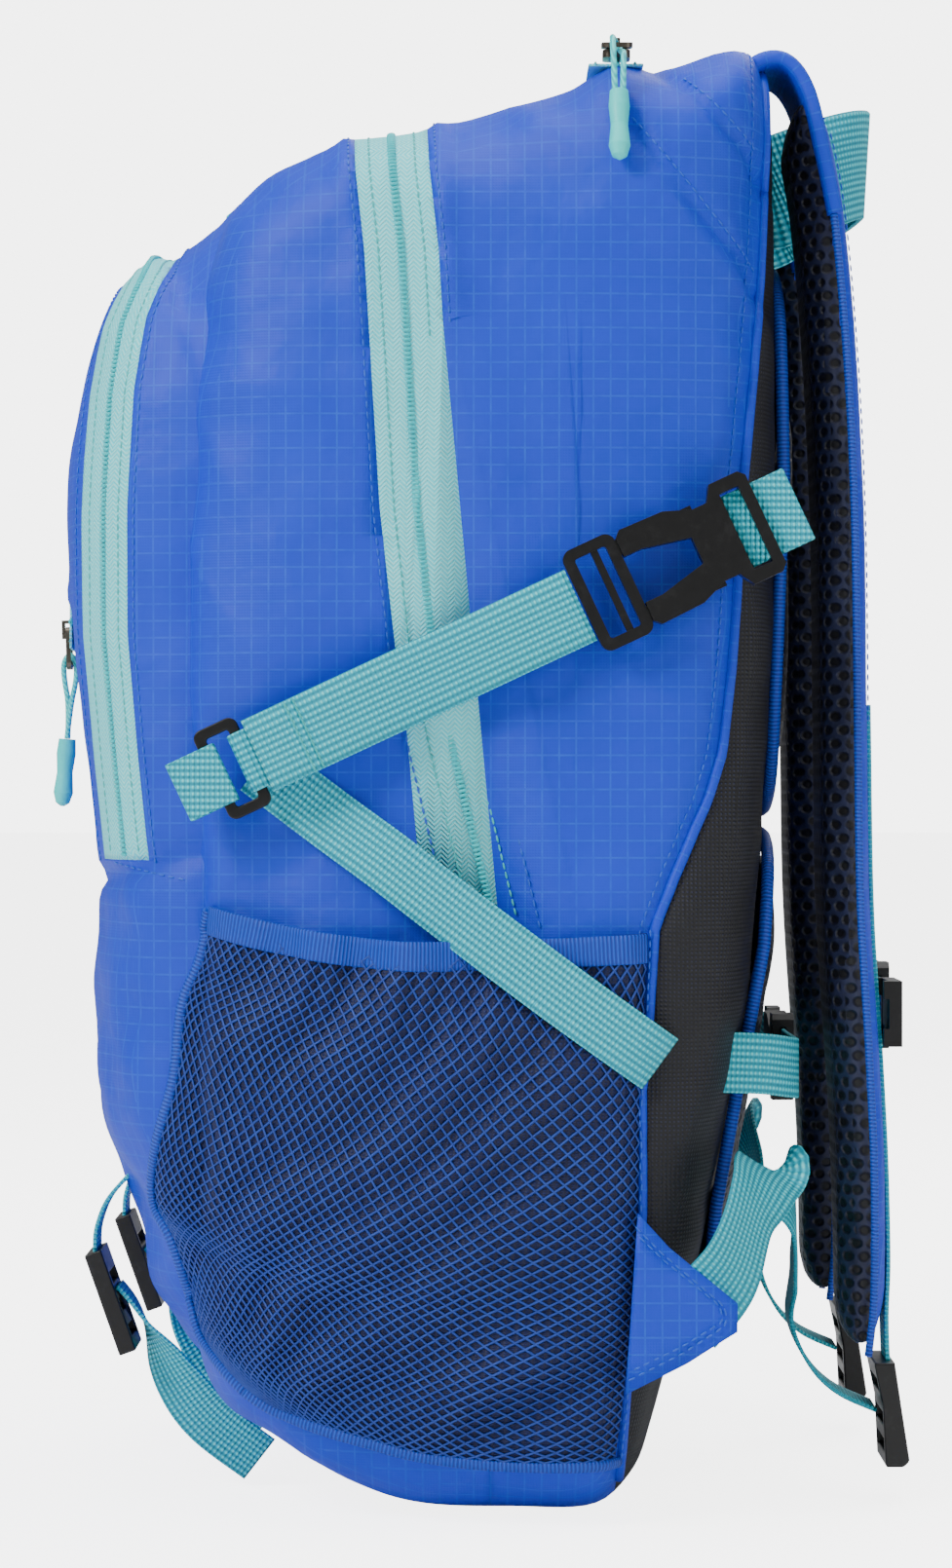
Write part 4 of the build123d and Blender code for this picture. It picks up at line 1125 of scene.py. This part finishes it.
class DAYPACK_OT_pockets(bpy.types.Operator):
    """Make the two mesh side pockets"""

    bl_idname = "daypack.pockets"
    bl_label = "Side pockets"

    def execute(self, context):
        for side, name in SIDES:
            self.one_pocket(side, name)
        return {"FINISHED"}

    def one_pocket(self, side, name):
        nx, nz = ((80, 88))
        rows = [[pocket_place(i / nx, j / nz, side) for i in range(nx + 1)] for j in range(nz + 1)]
        bm = grid_mesh(rows, uv=lambda a, b: (b / nx * POCKET_WIDE, a / nz * POCKET_TALL))
        if side < 0:
            bmesh.ops.reverse_faces(bm, faces=bm.faces)
        base = finish_piece(f"pocket_lining_{name}", bm, "lining")
        thicken(base, 0.5 * MM)
        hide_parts(f"mesh_pocket_{name}")
        net = self.net(side, name)
        top = [pocket_place(i / 60, 0.992, side, 0.7) for i in range(61)]
        low = [pocket_place(i / 60, 0.952, side, 0.9) for i in range(61)]
        middle = [(a + b) / 2 for a, b in zip(top, low)]
        hem = ribbon(f"pocket_hem_{name}", middle[::3], (0, 0, 1), 9.5 * MM, 1.6 * MM, "binding", samples=120)
        edge = [side_line(points, side, 2.4, 90) for points in (POCKET_LEFT, POCKET_BOTTOM, POCKET_RIGHT)]
        stitches(f"pocket_stitches_{name}", edge)
        for k, points in enumerate((POCKET_LEFT, POCKET_BOTTOM)):
            tube(f"pocket_edge_{k}_{name}", side_line(points, side, 1.5, 60), 2.0 * MM, "binding", flat=0.7)

    def net(self, side, name):
        """Diamond net of real strands over the lining."""
        cell = bpy.context.scene.daypack.net_cell
        tall = max(int(POCKET_TALL / cell), 8)
        wide = max(int(POCKET_WIDE / (cell * 0.95)), 8)
        bm = bmesh.new()
        grid = {}
        for j in range(2 * tall + 1):
            for i in range(2 * wide + 1):
                if (i + j) % 2:
                    continue
                a, b = i / (2 * wide), j / (2 * tall)
                shaken = a + noise.noise(Vector((a * 40, b * 40, side))) * 0.0012
                grid[i, j] = bm.verts.new(pocket_place(min(max(shaken, 0), 1), b * 0.965, side, 0.55))
        for (i, j), vert in grid.items():
            for di in (-1, 1):
                other = grid.get((i + di, j + 1))
                if other:
                    bm.edges.new((vert, other))
        mesh = bpy.data.meshes.new(f"pocket_net_{name}")
        bm.to_mesh(mesh)
        bm.free()
        lines = bpy.data.objects.new(mesh.name, mesh)
        bpy.context.scene.collection.objects.link(lines)
        skin = lines.modifiers.new("strands", "NODES")
        skin.node_group = strand_group()
        sockets = {i.name: i.identifier for i in skin.node_group.interface.items_tree if i.in_out == "INPUT"}
        skin[sockets["Radius"]] = 0.42 * MM
        skin[sockets["Material"]] = MATERIALS["net"]
        bpy.context.view_layer.update()
        baked(lines)
        lines.data.shade_smooth()
        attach(lines, "pack")
        return lines


def strand_group():
    """Geometry Nodes: turns each edge of a net into a thin four-sided strand."""
    group = bpy.data.node_groups.new("net_strands", "GeometryNodeTree")
    face = group.interface
    face.new_socket("Lines", in_out="INPUT", socket_type="NodeSocketGeometry")
    face.new_socket("Radius", in_out="INPUT", socket_type="NodeSocketFloat").default_value = 0.0004
    face.new_socket("Material", in_out="INPUT", socket_type="NodeSocketMaterial")
    face.new_socket("Net", in_out="OUTPUT", socket_type="NodeSocketGeometry")
    taken = add(group, "NodeGroupInput")
    split = add(group, "GeometryNodeSplitEdges", Mesh=taken.outputs["Lines"])
    curve = add(group, "GeometryNodeMeshToCurve", Mesh=split.outputs[0])
    round_shape = add(group, "GeometryNodeCurvePrimitiveCircle", Resolution=4, Radius=taken.outputs["Radius"])
    strands = add(group, "GeometryNodeCurveToMesh", Curve=curve.outputs[0], i1=round_shape.outputs[0])
    real = add(group, "GeometryNodeRealizeInstances", Geometry=strands.outputs[0])
    painted = add(group, "GeometryNodeSetMaterial", Geometry=real.outputs[0],
                  Material=taken.outputs["Material"])
    add(group, "NodeGroupOutput", Net=painted.outputs[0])
    return group


# ------------------------------------------------------------------ webbing
def on_strap(run, off, x):
    """A place by the compression strap: run along it from the ring, off across it, x out, all in mm."""
    c, d = math.cos(STRAP_ANGLE), math.sin(STRAP_ANGLE)
    return mm(x, RING_Y + run * c - off * d, RING_Z + run * d + off * c)


# the compression web's middle, and the leg's turn round the ring's rear bar: run from the ring, and x
WEB_X = 161.3
LEG_TURN = ((15, 159.4), (9, 159.6), (5.0, 159.3), (3.2, 157.0), (4.2, 154.6), (8, 153.6))
# the leg down the bag's side: y, z, and how far it stands off
LEG_ROUTE = (
    (-72, 247, 0.9), (-48, 229, 2.8), (-30, 216, 6.0), (-8, 199, 7.4), (24, 175, 7.2), (46, 159, 5.4),
    (57, 151, 2.8),
)


class DAYPACK_OT_webbing(bpy.types.Operator):
    """Make the webbing straps and tabs"""

    bl_idname = "daypack.webbing"
    bl_label = "Webbing"

    def execute(self, context):
        for side, name in SIDES:
            self.compression(side, name)
            self.leg(side, name)
            self.lower_web(side, name)
            self.side_tab(side, name)
            self.accessory(side, name)
            self.waist(side, name)
        for node in ("front_anchor_webs", "rear_anchor_webs", "sternum_web_left", "sternum_web_right"):
            softened(node, "webbing", 0.5, turned=True)
        self.haul_loop()
        return {"FINISHED"}

    def compression(self, side, name):
        """Standing web with a folded, stitched hem at its free end."""
        body = f"compression_{name}"
        up_strap = (0, -math.sin(STRAP_ANGLE), math.cos(STRAP_ANGLE))
        tail = [on_strap(9 + 114 * k / 8, 0, WEB_X + 0.7 * math.sin(k * 1.1)) for k in range(9)]
        ribbon(f"compression_web_{name}", tail, up_strap, WEB_WIDE, body=body,
               nodes=[f"compression_tail_{name}"], mirror=side < 0)
        hem = [on_strap(9.5 + 3 * k, 0, WEB_X + 1.1) for k in range(7)]
        ribbon(f"compression_hem_{name}", hem, up_strap, 24.6 * MM, 1.0 * MM, body=body, samples=16,
               mirror=side < 0)
        thread_x = (WEB_X + 1.8) * side
        threads = [[(on_strap(run, off, thread_x), Vector((side, 0, 0))) for off in range(-11, 12)]
                   for run in (27, 24)]
        stitches(f"compression_stitches_{name}", threads, "aqua_thread", body, 2.4 * MM)

    def waist(self, side, name):
        """Half of the waist web, from the back seam round to the buckle."""
        path = [mm(126, 74, 150), mm(120, 92, 149), mm(108, 103, 147), mm(92, 105.2, 146), mm(64, 104.7, 146),
                mm(38.5, 104.7, 146)]
        ribbon(f"waist_web_{name}", path, (0, 0, 1), WEB_NARROW, nodes=["waist_webs"], mirror=side < 0)

    def haul_loop(self):
        """Wide loop that stands over the back panel's top."""
        arch = [mm(34 * math.cos(a), 99 + 37 * math.sin(a), 446 + 15 * math.sin(a))
                for a in (math.pi * k / 14 for k in range(15))]
        arch = [mm(33.5, 88, 447), *arch, mm(-33.5, 88, 447)]
        ribbon("haul_loop_web", arch, (0, 0.06, 1), 38 * MM, 2.4 * MM, body="haul_loop", nodes=["haul_loop"],
               samples=90)

    def leg(self, side, name):
        """The web that comes round the ring's rear bar and runs down to the back seam."""
        turn = [on_strap(run, 0, x) for run, x in LEG_TURN]
        ribbon(f"leg_turn_{name}", turn, (0, -0.42, 0.9), WEB_NARROW, nodes=["compression_legs"], samples=40,
               mirror=side < 0)
        path = [on_skin(y, z, 1, lift) for y, z, lift in LEG_ROUTE]
        across_y, across_z = 0.586, 0.81
        ribbon(f"leg_web_{name}", path, (0, across_y, across_z), WEB_NARROW, nodes=["compression_legs"],
               mirror=side < 0)
        line = [(on_skin(52 + across_y * d, 155 + across_z * d, side, 2.0), Vector((side, 0, 0)))
                for d in range(-8, 9, 2)]
        stitches(f"leg_stitches_{name}", [line], "aqua_thread", pitch=2.4 * MM)

    def lower_web(self, side, name):
        """Slack web from the tab, twisting over an arch, down through the strap's ladder lock."""
        path = [mm(151.5, 66, 68), mm(148, 80, 84), mm(136, 89, 106), mm(116, 96, 113), mm(97, 104, 98),
                mm(84, 105, 76), mm(80, 104, 60), mm(80, 110, 46), mm(80, 119, 37), mm(80, 132, 31)]
        across = [(0.1, -0.55, 0.8), (0.3, -0.5, 0.8), (0.5, -0.5, 0.6), (0.5, -0.75, 0.3), (0.85, -0.4, 0.1),
                  (1, -0.1, 0), (1, 0, 0), (1, 0, 0), (1, 0, 0), (1, 0, 0)]
        piece = ribbon(f"lower_web_{name}", path, across, WEB_WIDE, 1.3 * MM, body=None, nodes=["lower_webs"],
                       samples=100, mirror=side < 0)
        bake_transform(piece)

    def side_tab(self, side, name):
        """Doubled cloth triangle sewn into the back seam."""
        points = [(50, 103), (60, 92), (82, 74), (82, 65), (66, 55), (46, 45)]
        bm = bmesh.new()
        bm.faces.new([bm.verts.new(mm(TAB_X * side, y, z)) for y, z in points])
        bmesh.ops.triangulate(bm, faces=bm.faces)
        bmesh.ops.subdivide_edges(bm, edges=bm.edges, cuts=3, use_grid_fill=True)
        for vert in bm.verts:
            vert.co.x += side * noise.noise(vert.co * 40) * 1.2 * MM
        piece = finish_piece(f"side_tab_{name}", bm, "ripstop")
        thicken(piece, 2.4 * MM, 0.0)
        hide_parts("side_tabs")
        inside = [(50, 98), (58, 90), (78, 73), (78, 67), (64, 58), (48, 50)]
        thread_x = (TAB_X + 1.5) * side
        outer = [(mm(thread_x, y, z), Vector((side, 0, 0))) for y, z in inside]
        inner = [(mm(thread_x, y * 0.9 + 6.4, z * 0.86 + 10.4), Vector((side, 0, 0))) for y, z in inside]
        stitches(f"side_tab_stitches_{name}", [outer, inner])

    def accessory(self, side, name):
        """Short anchor over the lock and the tail that falls under the bag's front."""
        anchor = [mm(62, -118, 110), mm(62, -127, 100), mm(62, -131, 90), mm(62, -131.5, 82)]
        tail = [mm(62, -124, 70), mm(62, -119, 64), mm(62, -112, 52), mm(62, -104, 37), mm(62, -93, 23),
                mm(62, -76, 10)]
        ribbon(f"accessory_anchor_{name}", anchor, (1, 0, 0), WEB_NARROW, nodes=["accessory_webs"],
               samples=24, mirror=side < 0)
        turned = [(1, 0, 0), (1, 0.1, 0.1), (0.7, 0.5, 0.5), (0.45, 0.75, 0.6), (0.4, 0.8, 0.55),
                  (0.4, 0.8, 0.5)]
        ribbon(f"accessory_tail_{name}", tail, turned, WEB_NARROW, nodes=["accessory_webs"], mirror=side < 0)


# ------------------------------------------------------------------ pads and shoulder straps
def mirrored_copy(piece, name, body):
    """The same piece on the other side, with its faces turned back outwards."""
    mesh = piece.data.copy()
    mesh.name = name
    for vert in mesh.vertices:
        vert.co.x = -vert.co.x
    mesh.flip_normals()
    copy = bpy.data.objects.new(name, mesh)
    bpy.context.scene.collection.objects.link(copy)
    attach(copy, body)
    return copy


VOXEL = 4.5 * MM
PRESSURE = 3.0
STEPS = 20


def puffed(piece, cap):
    """Cloth simulation: the closed pad is blown up a little, each point held to a cap."""
    remesh = piece.modifiers.new("voxels", "REMESH")
    remesh.mode = "VOXEL"
    remesh.voxel_size = VOXEL
    baked(piece)
    rest = [v.co.copy() for v in piece.data.vertices]
    cloth = piece.modifiers.new("cloth", "CLOTH")
    cloth.settings.use_pressure = True
    cloth.settings.uniform_pressure_force = PRESSURE
    cloth.settings.effector_weights.gravity = 0.0
    cloth.settings.quality = 4
    cloth.point_cache.frame_end = STEPS
    scene = bpy.context.scene
    for step in range(1, STEPS + 1):
        scene.frame_set(step)
    graph = bpy.context.evaluated_depsgraph_get()
    blown = piece.evaluated_get(graph).to_mesh()
    moved = [v.co.copy() for v in blown.vertices]
    piece.evaluated_get(graph).to_mesh_clear()
    piece.modifiers.clear()
    scene.frame_set(1)
    for vert, a, b in zip(piece.data.vertices, rest, moved):
        move = b - a
        if move.length > cap:
            move *= cap / move.length
        vert.co = a + move
    finer = piece.modifiers.new("finer", "SUBSURF")
    finer.levels = 1
    finer.render_levels = 1
    baked(piece)
    piece.data.shade_smooth()


# the pads' outline is a rectangle rounded by this power; the table gives the back's y at each height
PAD_POWER = 5.0
BACK_LINE = [
    (60, 74), (100, 77), (150, 86), (187, 93), (224, 96), (267, 97), (342, 100), (396, 99), (445, 97),
]


def back_line(z):
    return along(BACK_LINE, z)


def slab(name, material, half_x, z_low, z_high, back, thick):
    """A closed pad on the back: a rounded rectangle, crowned, half_x wide each way at a height of -1 to 1."""
    nx, nz = 48, 56
    faces = []
    for layer in (1, 0):
        rows = []
        for j in range(nz + 1):
            row_points = []
            for i in range(nx + 1):
                a = -1 + 2 * i / nx
                b = -1 + 2 * j / nz
                reach = max(abs(a), abs(b), 1e-6)
                round_off = (abs(a) ** PAD_POWER + abs(b) ** PAD_POWER) ** (1 / PAD_POWER)
                scale = reach / round_off if round_off else 1
                x = a * scale * half_x(b)
                z = z_low + (z_high - z_low) * (b * scale + 1) / 2
                crown = (1 - reach ** 5) ** 0.5
                y = back(z) + (thick * crown if layer else -1.0 * crown)
                row_points.append(mm(x, y, z))
            rows.append(row_points)
        faces.append(rows)
    bm = grid_mesh(faces[0])
    lower = grid_mesh(faces[1])
    mesh = bpy.data.meshes.new("lower")
    lower.to_mesh(mesh)
    lower.free()
    bm.from_mesh(mesh)
    bpy.data.meshes.remove(mesh)
    bmesh.ops.remove_doubles(bm, verts=bm.verts, dist=2e-6)
    bmesh.ops.recalc_face_normals(bm, faces=bm.faces)
    return finish_piece(name, bm, material, uv=False)


STRAP_CENTRE = [
    (106, 470), (113, 440), (118, 390), (121, 330), (122, 260), (123, 200), (126, 150), (128, 110),
    (128.5, 70), (127, 50),
]


def strap_line_y(z):
    return along([(at, y) for y, at in reversed(STRAP_CENTRE)], z)


def strap_half(z):
    return along([(50, 17), (70, 21), (120, 30), (170, 33), (360, 33), (430, 30), (470, 27)], z)


class DAYPACK_OT_harness(bpy.types.Operator):
    """Make the back pads and the shoulder straps"""

    bl_idname = "daypack.harness"
    bl_label = "Pads and straps"

    def execute(self, context):
        self.back_pads()
        self.strap()
        return {"FINISHED"}

    def back_pads(self):
        back = slab("back_pad", "spacer", lambda b: 100, 232, 417, back_line, 4.0)
        lumbar = slab("lumbar_cushion", "spacer", lambda b: 106 - 10 * max(b, 0) ** 2, 60, 224,
                      lambda z: back_line(z) - 1.0, 5.5)
        for piece, node in ((back, "back_foam"), (lumbar, "lumbar_pad")):
            puffed(piece, 3.0 * MM)
            for vert in piece.data.vertices:
                co = vert.co
                groove = bump(abs(co.x / MM) - 34, 4.0) + bump(co.x / MM, 5.0) * 0.6
                if co.y / MM > back_line(co.z / MM) + 1:
                    co.y -= 1.6 * MM * groove
            box_uv(piece.data)
            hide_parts(node)
        for name, half, low, high in (("back", 100, 232, 417), ("lumbar", 106, 60, 224)):
            line = []
            for k in range(161):
                a = math.tau * k / 160
                c, d = math.cos(a), math.sin(a)
                scale = 1 / (abs(c) ** PAD_POWER + abs(d) ** PAD_POWER) ** (1 / PAD_POWER)
                z = low + (high - low) * (d * scale + 1) / 2
                line.append((mm(c * scale * half, back_line(z) + 0.6, z), Vector((0, 1, 0))))
            tube(f"{name}_pad_binding", line, 2.4 * MM, "binding", flat=0.9)

    def yoke(self, side, name):
        """Short padded band from the bag's top seam into the strap."""
        path = [mm(STRAP_X, y, z)
                for y, z in ((84, 473), (92, 481), (101, 481), (108, 471), (113, 450), (117, 430))]
        ribbon(f"strap_yoke_{name}", path, (1, 0, 0), lambda t: (54 + 10 * t) * MM, 5.0 * MM, "ripstop",
               body=f"strap_{name}", samples=50, mirror=side < 0)
        thread = [(mm((STRAP_X + d) * side, 113.5, 462), Vector((0, 0.95, 0.3))) for d in range(-26, 27, 2)]
        stitches(f"strap_yoke_stitches_{name}", [thread], body=f"strap_{name}")

    def pad_rows(self, centres):
        """Rounded cross-sections down the right strap, drawn in at both ends."""
        sides = 28
        rows = []
        count = len(centres)
        for i, c in enumerate(centres):
            ahead = (centres[min(i + 1, count - 1)] - centres[max(i - 1, 0)]).normalized()
            out = Vector((0, -ahead.y, ahead.x))
            half = strap_half(c.y)
            ring = []
            end = min(i, count - 1 - i) / 2.0
            squeeze = min(1.0, 0.45 + 0.55 * math.sqrt(min(end, 1.0)))
            for k in range(sides):
                across, up = math.cos(math.tau * k / sides), math.sin(math.tau * k / sides)
                thick = (4.2 if up > 0 else 6.8) * squeeze
                cx = math.copysign(abs(across) ** 0.5, across) * half
                cy = math.copysign(abs(up) ** 0.7, up) * thick
                ring.append(mm(STRAP_X + cx, c.x + out.y * cy, c.y + out.z * cy))
            rows.append(ring)
        return rows

    def strap(self):
        """Both padded straps with their seams, yokes and rails."""
        centres = even_curve([(y, z, 0) for y, z in STRAP_CENTRE], 90)
        bm = grid_mesh(self.pad_rows(centres), close_v=True)
        bmesh.ops.holes_fill(bm, edges=[e for e in bm.edges if e.is_boundary], sides=0)
        bmesh.ops.recalc_face_normals(bm, faces=bm.faces)
        right = finish_piece("strap_pad_right", bm, "spacer", body="strap_right", uv=False)
        puffed(right, 2.6 * MM)
        box_uv(right.data)
        right.data.materials.append(MATERIALS["ripstop"])
        for polygon in right.data.polygons:
            middle = polygon.center / MM
            if middle.y > strap_line_y(middle.z) + 2.0:
                polygon.material_index = 1
        left = mirrored_copy(right, "strap_pad_left", "strap_left")
        for piece, name in ((right, "right"), (left, "left")):
            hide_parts(f"shoulder_strap_{name}")
        for side, name in SIDES:
            self.yoke(side, name)
            self.strap_trim(side, name, centres)

    def strap_trim(self, side, name, centres):
        """A strap's bound edges, webbing rail and two rows of stitches."""
        body = f"strap_{name}"
        for tag, way in (("outer", 1), ("inner", -1)):
            line = []
            for c in centres:
                edge_x = (STRAP_X + way * (strap_half(c.y) + 0.4)) * side
                line.append((mm(edge_x, c.x + 2.0, c.y), Vector((side * way, 0, 0))))
            tube(f"strap_seam_{tag}_{name}", line, 1.3 * MM, "binding", body)
        outer = [mm(STRAP_X, c.x + 7.9, c.y) for c in centres if c.y < 268]
        outer += [mm(STRAP_X, 134, 44), mm(STRAP_X, 137, 34)]
        ribbon(f"strap_rail_{name}", outer[::4] + [outer[-1]], (1, 0, 0), WEB_NARROW, body=body,
               nodes=[f"strap_web_{name}"], mirror=side < 0)
        padded = [c for c in centres if 262 < c.y < 460]
        rows = [[(mm((STRAP_X + d) * side, c.x + 6.4, c.y), Vector((0, 1, 0))) for c in padded]
                for d in (-24, 24)]
        stitches(f"strap_stitches_{name}", rows, "blue_thread", body)


# ------------------------------------------------------------------ hardware and pulls
# each pull: the slider's eye, the way it hangs, the way out of the bag, its droop in degrees, and its length
CORD_ROUTES = {
    "main": ((0, -32.155, 463.055), (0, -0.94997, -0.31234), (0, -0.3, 1), 4, 0.0623),
    "front": ((0, -147.0, 296), (0, 0.03, -1), (0, -1, 0), -6, 0.0623),
    "rear": ((122, 44, 483.1), (1, 0, -0.12), (0, 0, 1), 65, 0.0615),
    "pocket": ((-128.9, -125.5, 330), (0, 0, -1), (-1, 0, 0), 0, 0.0623),
}


def pull_axes(hang, out):
    x = Vector(hang).normalized()
    z = Vector(out)
    z = (z - x * z.dot(x)).normalized()
    return x, z.cross(x), z


def pull_route(at, hang, out, droop):
    """The cord's places: down one side, round the ring and back into the grip."""
    x_way, y_way, z_way = pull_axes(hang, out)
    turn = math.radians(droop)
    half = turn / 2
    middle = (18 + 9 * math.cos(half), -9 * math.sin(half))
    reach = middle[0] + 11.9 * math.cos(turn)
    sink = middle[1] - 11.9 * math.sin(turn)
    local = [
        (reach, -1.3, sink), (middle[0], -1.6, middle[1] + 0.4), (18.2, -1.8, 2.3), (11.6, -1.5, 2.5),
        (8.4, 0, 0), (11.6, 1.5, -2.5), (18.2, 1.8, -2.3), (middle[0], 1.6, middle[1] - 0.4),
        (reach, 1.3, sink),
    ]
    return [(Vector(at) + x_way * a + y_way * b + z_way * c) * MM for a, b, c in local]


class DAYPACK_OT_hardware(bpy.types.Operator):
    """Make the buckles, rings, sliders and zip pulls"""

    bl_idname = "daypack.hardware"
    bl_label = "Hardware"

    def execute(self, context):
        moulded = (
            "accessory_locks", "compression_females", "compression_rings", "compression_male_left",
            "compression_male_right", "ladder_lock_left", "ladder_lock_right", "sternum_female",
            "sternum_male", "sternum_slider_left", "sternum_slider_right", "waist_female", "waist_male",
        )
        for node in moulded:
            softened(node, "acetal", 0.8)
        dress("frame_sheet", "sheet")
        dress("hydration_sleeve", "coil")
        for name, (at, hang, out, droop, length) in CORD_ROUTES.items():
            dress(f"slider_{name}", "metal")
            dress(f"pull_ring_{name}", "metal")
            dress(f"pull_grip_{name}", "grip")
            points = pull_route(at, hang, out, droop)
            curve = bpy.data.curves.new(f"pull_cord_{name}_made", "CURVE")
            curve.dimensions = "3D"
            curve.bevel_depth = 1.0 * MM
            curve.bevel_resolution = 3
            curve.resolution_u = 16
            curve.use_fill_caps = True
            spline = curve.splines.new("NURBS")
            spline.points.add(len(points) - 1)
            for item, place in zip(spline.points, points):
                item.co = (*place, 1)
            spline.order_u = 3
            spline.use_endpoint_u = True
            curve.materials.append(MATERIALS["cord"])
            piece = bpy.data.objects.new(curve.name, curve)
            context.scene.collection.objects.link(piece)
            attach(piece, f"pull_{name}")
            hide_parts(f"pull_cord_{name}")
        return {"FINISHED"}


# ------------------------------------------------------------------ stage
class DAYPACK_OT_stage(bpy.types.Operator):
    """Set the floor, the lights and the camera"""

    bl_idname = "daypack.stage"
    bl_label = "Stage"

    def execute(self, context):
        scene = context.scene
        floor = bmesh.new()
        bmesh.ops.create_grid(floor, x_segments=2, y_segments=2, size=20.0)
        piece = finish_piece("floor", floor, "floor", body=None)
        world = bpy.data.worlds.new("studio")
        scene.world = world
        world.use_nodes = True
        tree = world.node_tree
        tree.nodes.clear()
        seen = add(tree, "ShaderNodeLightPath").outputs["Is Camera Ray"]
        # the backdrop looks white, but lights the bag less than that
        strength = add(tree, "ShaderNodeMapRange", Value=seen, To_Min=0.36, To_Max=5.2).outputs[0]
        glow = add(tree, "ShaderNodeBackground", Color=(1, 1, 1, 1), Strength=strength)
        add(tree, "ShaderNodeOutputWorld", Surface=glow.outputs[0])
        lamps = (
            ("key", (1.3, -1.3, 1.5), 0.7, 32), ("fill", (1.4, 1.4, 0.8), 1.2, 7),
            ("top", (0.2, 0.0, 1.9), 1.2, 18), ("rear", (-1.3, 0.6, 1.4), 1.0, 12),
        )
        for name, place, size, power in lamps:
            light = bpy.data.lights.new(name, "AREA")
            light.size = size
            light.energy = power
            lamp = bpy.data.objects.new(name, light)
            lamp.location = place
            lamp.rotation_euler = (Vector((0, 0, 0.24)) - Vector(place)).to_track_quat("-Z", "Y").to_euler()
            scene.collection.objects.link(lamp)
        camera = bpy.data.cameras.new("camera")
        camera.lens = 100
        camera.sensor_width = 36
        shot = bpy.data.objects.new("camera", camera)
        near_plane = 0.155
        distance = 0.503 * camera.lens / camera.sensor_width
        shot.location = (near_plane + distance, -0.002, 0.241)
        shot.rotation_euler = (math.pi / 2, 0, math.pi / 2)
        scene.collection.objects.link(shot)
        scene.camera = shot
        return {"FINISHED"}


class DAYPACK_PT_panel(bpy.types.Panel):
    """Lists the makers in the sidebar"""

    bl_label = "Daypack"
    bl_space_type = "VIEW_3D"
    bl_region_type = "UI"
    bl_category = "Daypack"

    def draw(self, context):
        for operator in OPERATORS:
            self.layout.operator(operator.bl_idname)


OPERATORS = (
    DAYPACK_OT_stage, DAYPACK_OT_bag, DAYPACK_OT_seams, DAYPACK_OT_pockets, DAYPACK_OT_webbing,
    DAYPACK_OT_harness, DAYPACK_OT_hardware,
)
CLASSES = (DaypackSettings, *OPERATORS, DAYPACK_PT_panel)


def register():
    for item in CLASSES:
        bpy.utils.register_class(item)
    bpy.types.Scene.daypack = bpy.props.PointerProperty(type=DaypackSettings)


def unregister():
    del bpy.types.Scene.daypack
    for item in reversed(CLASSES):
        bpy.utils.unregister_class(item)


def main():
    register()
    make_materials()
    for operator in OPERATORS:
        group, name = operator.bl_idname.split(".")
        getattr(getattr(bpy.ops, group), name)()
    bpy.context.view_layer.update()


if __name__ == "__main__":
    main()
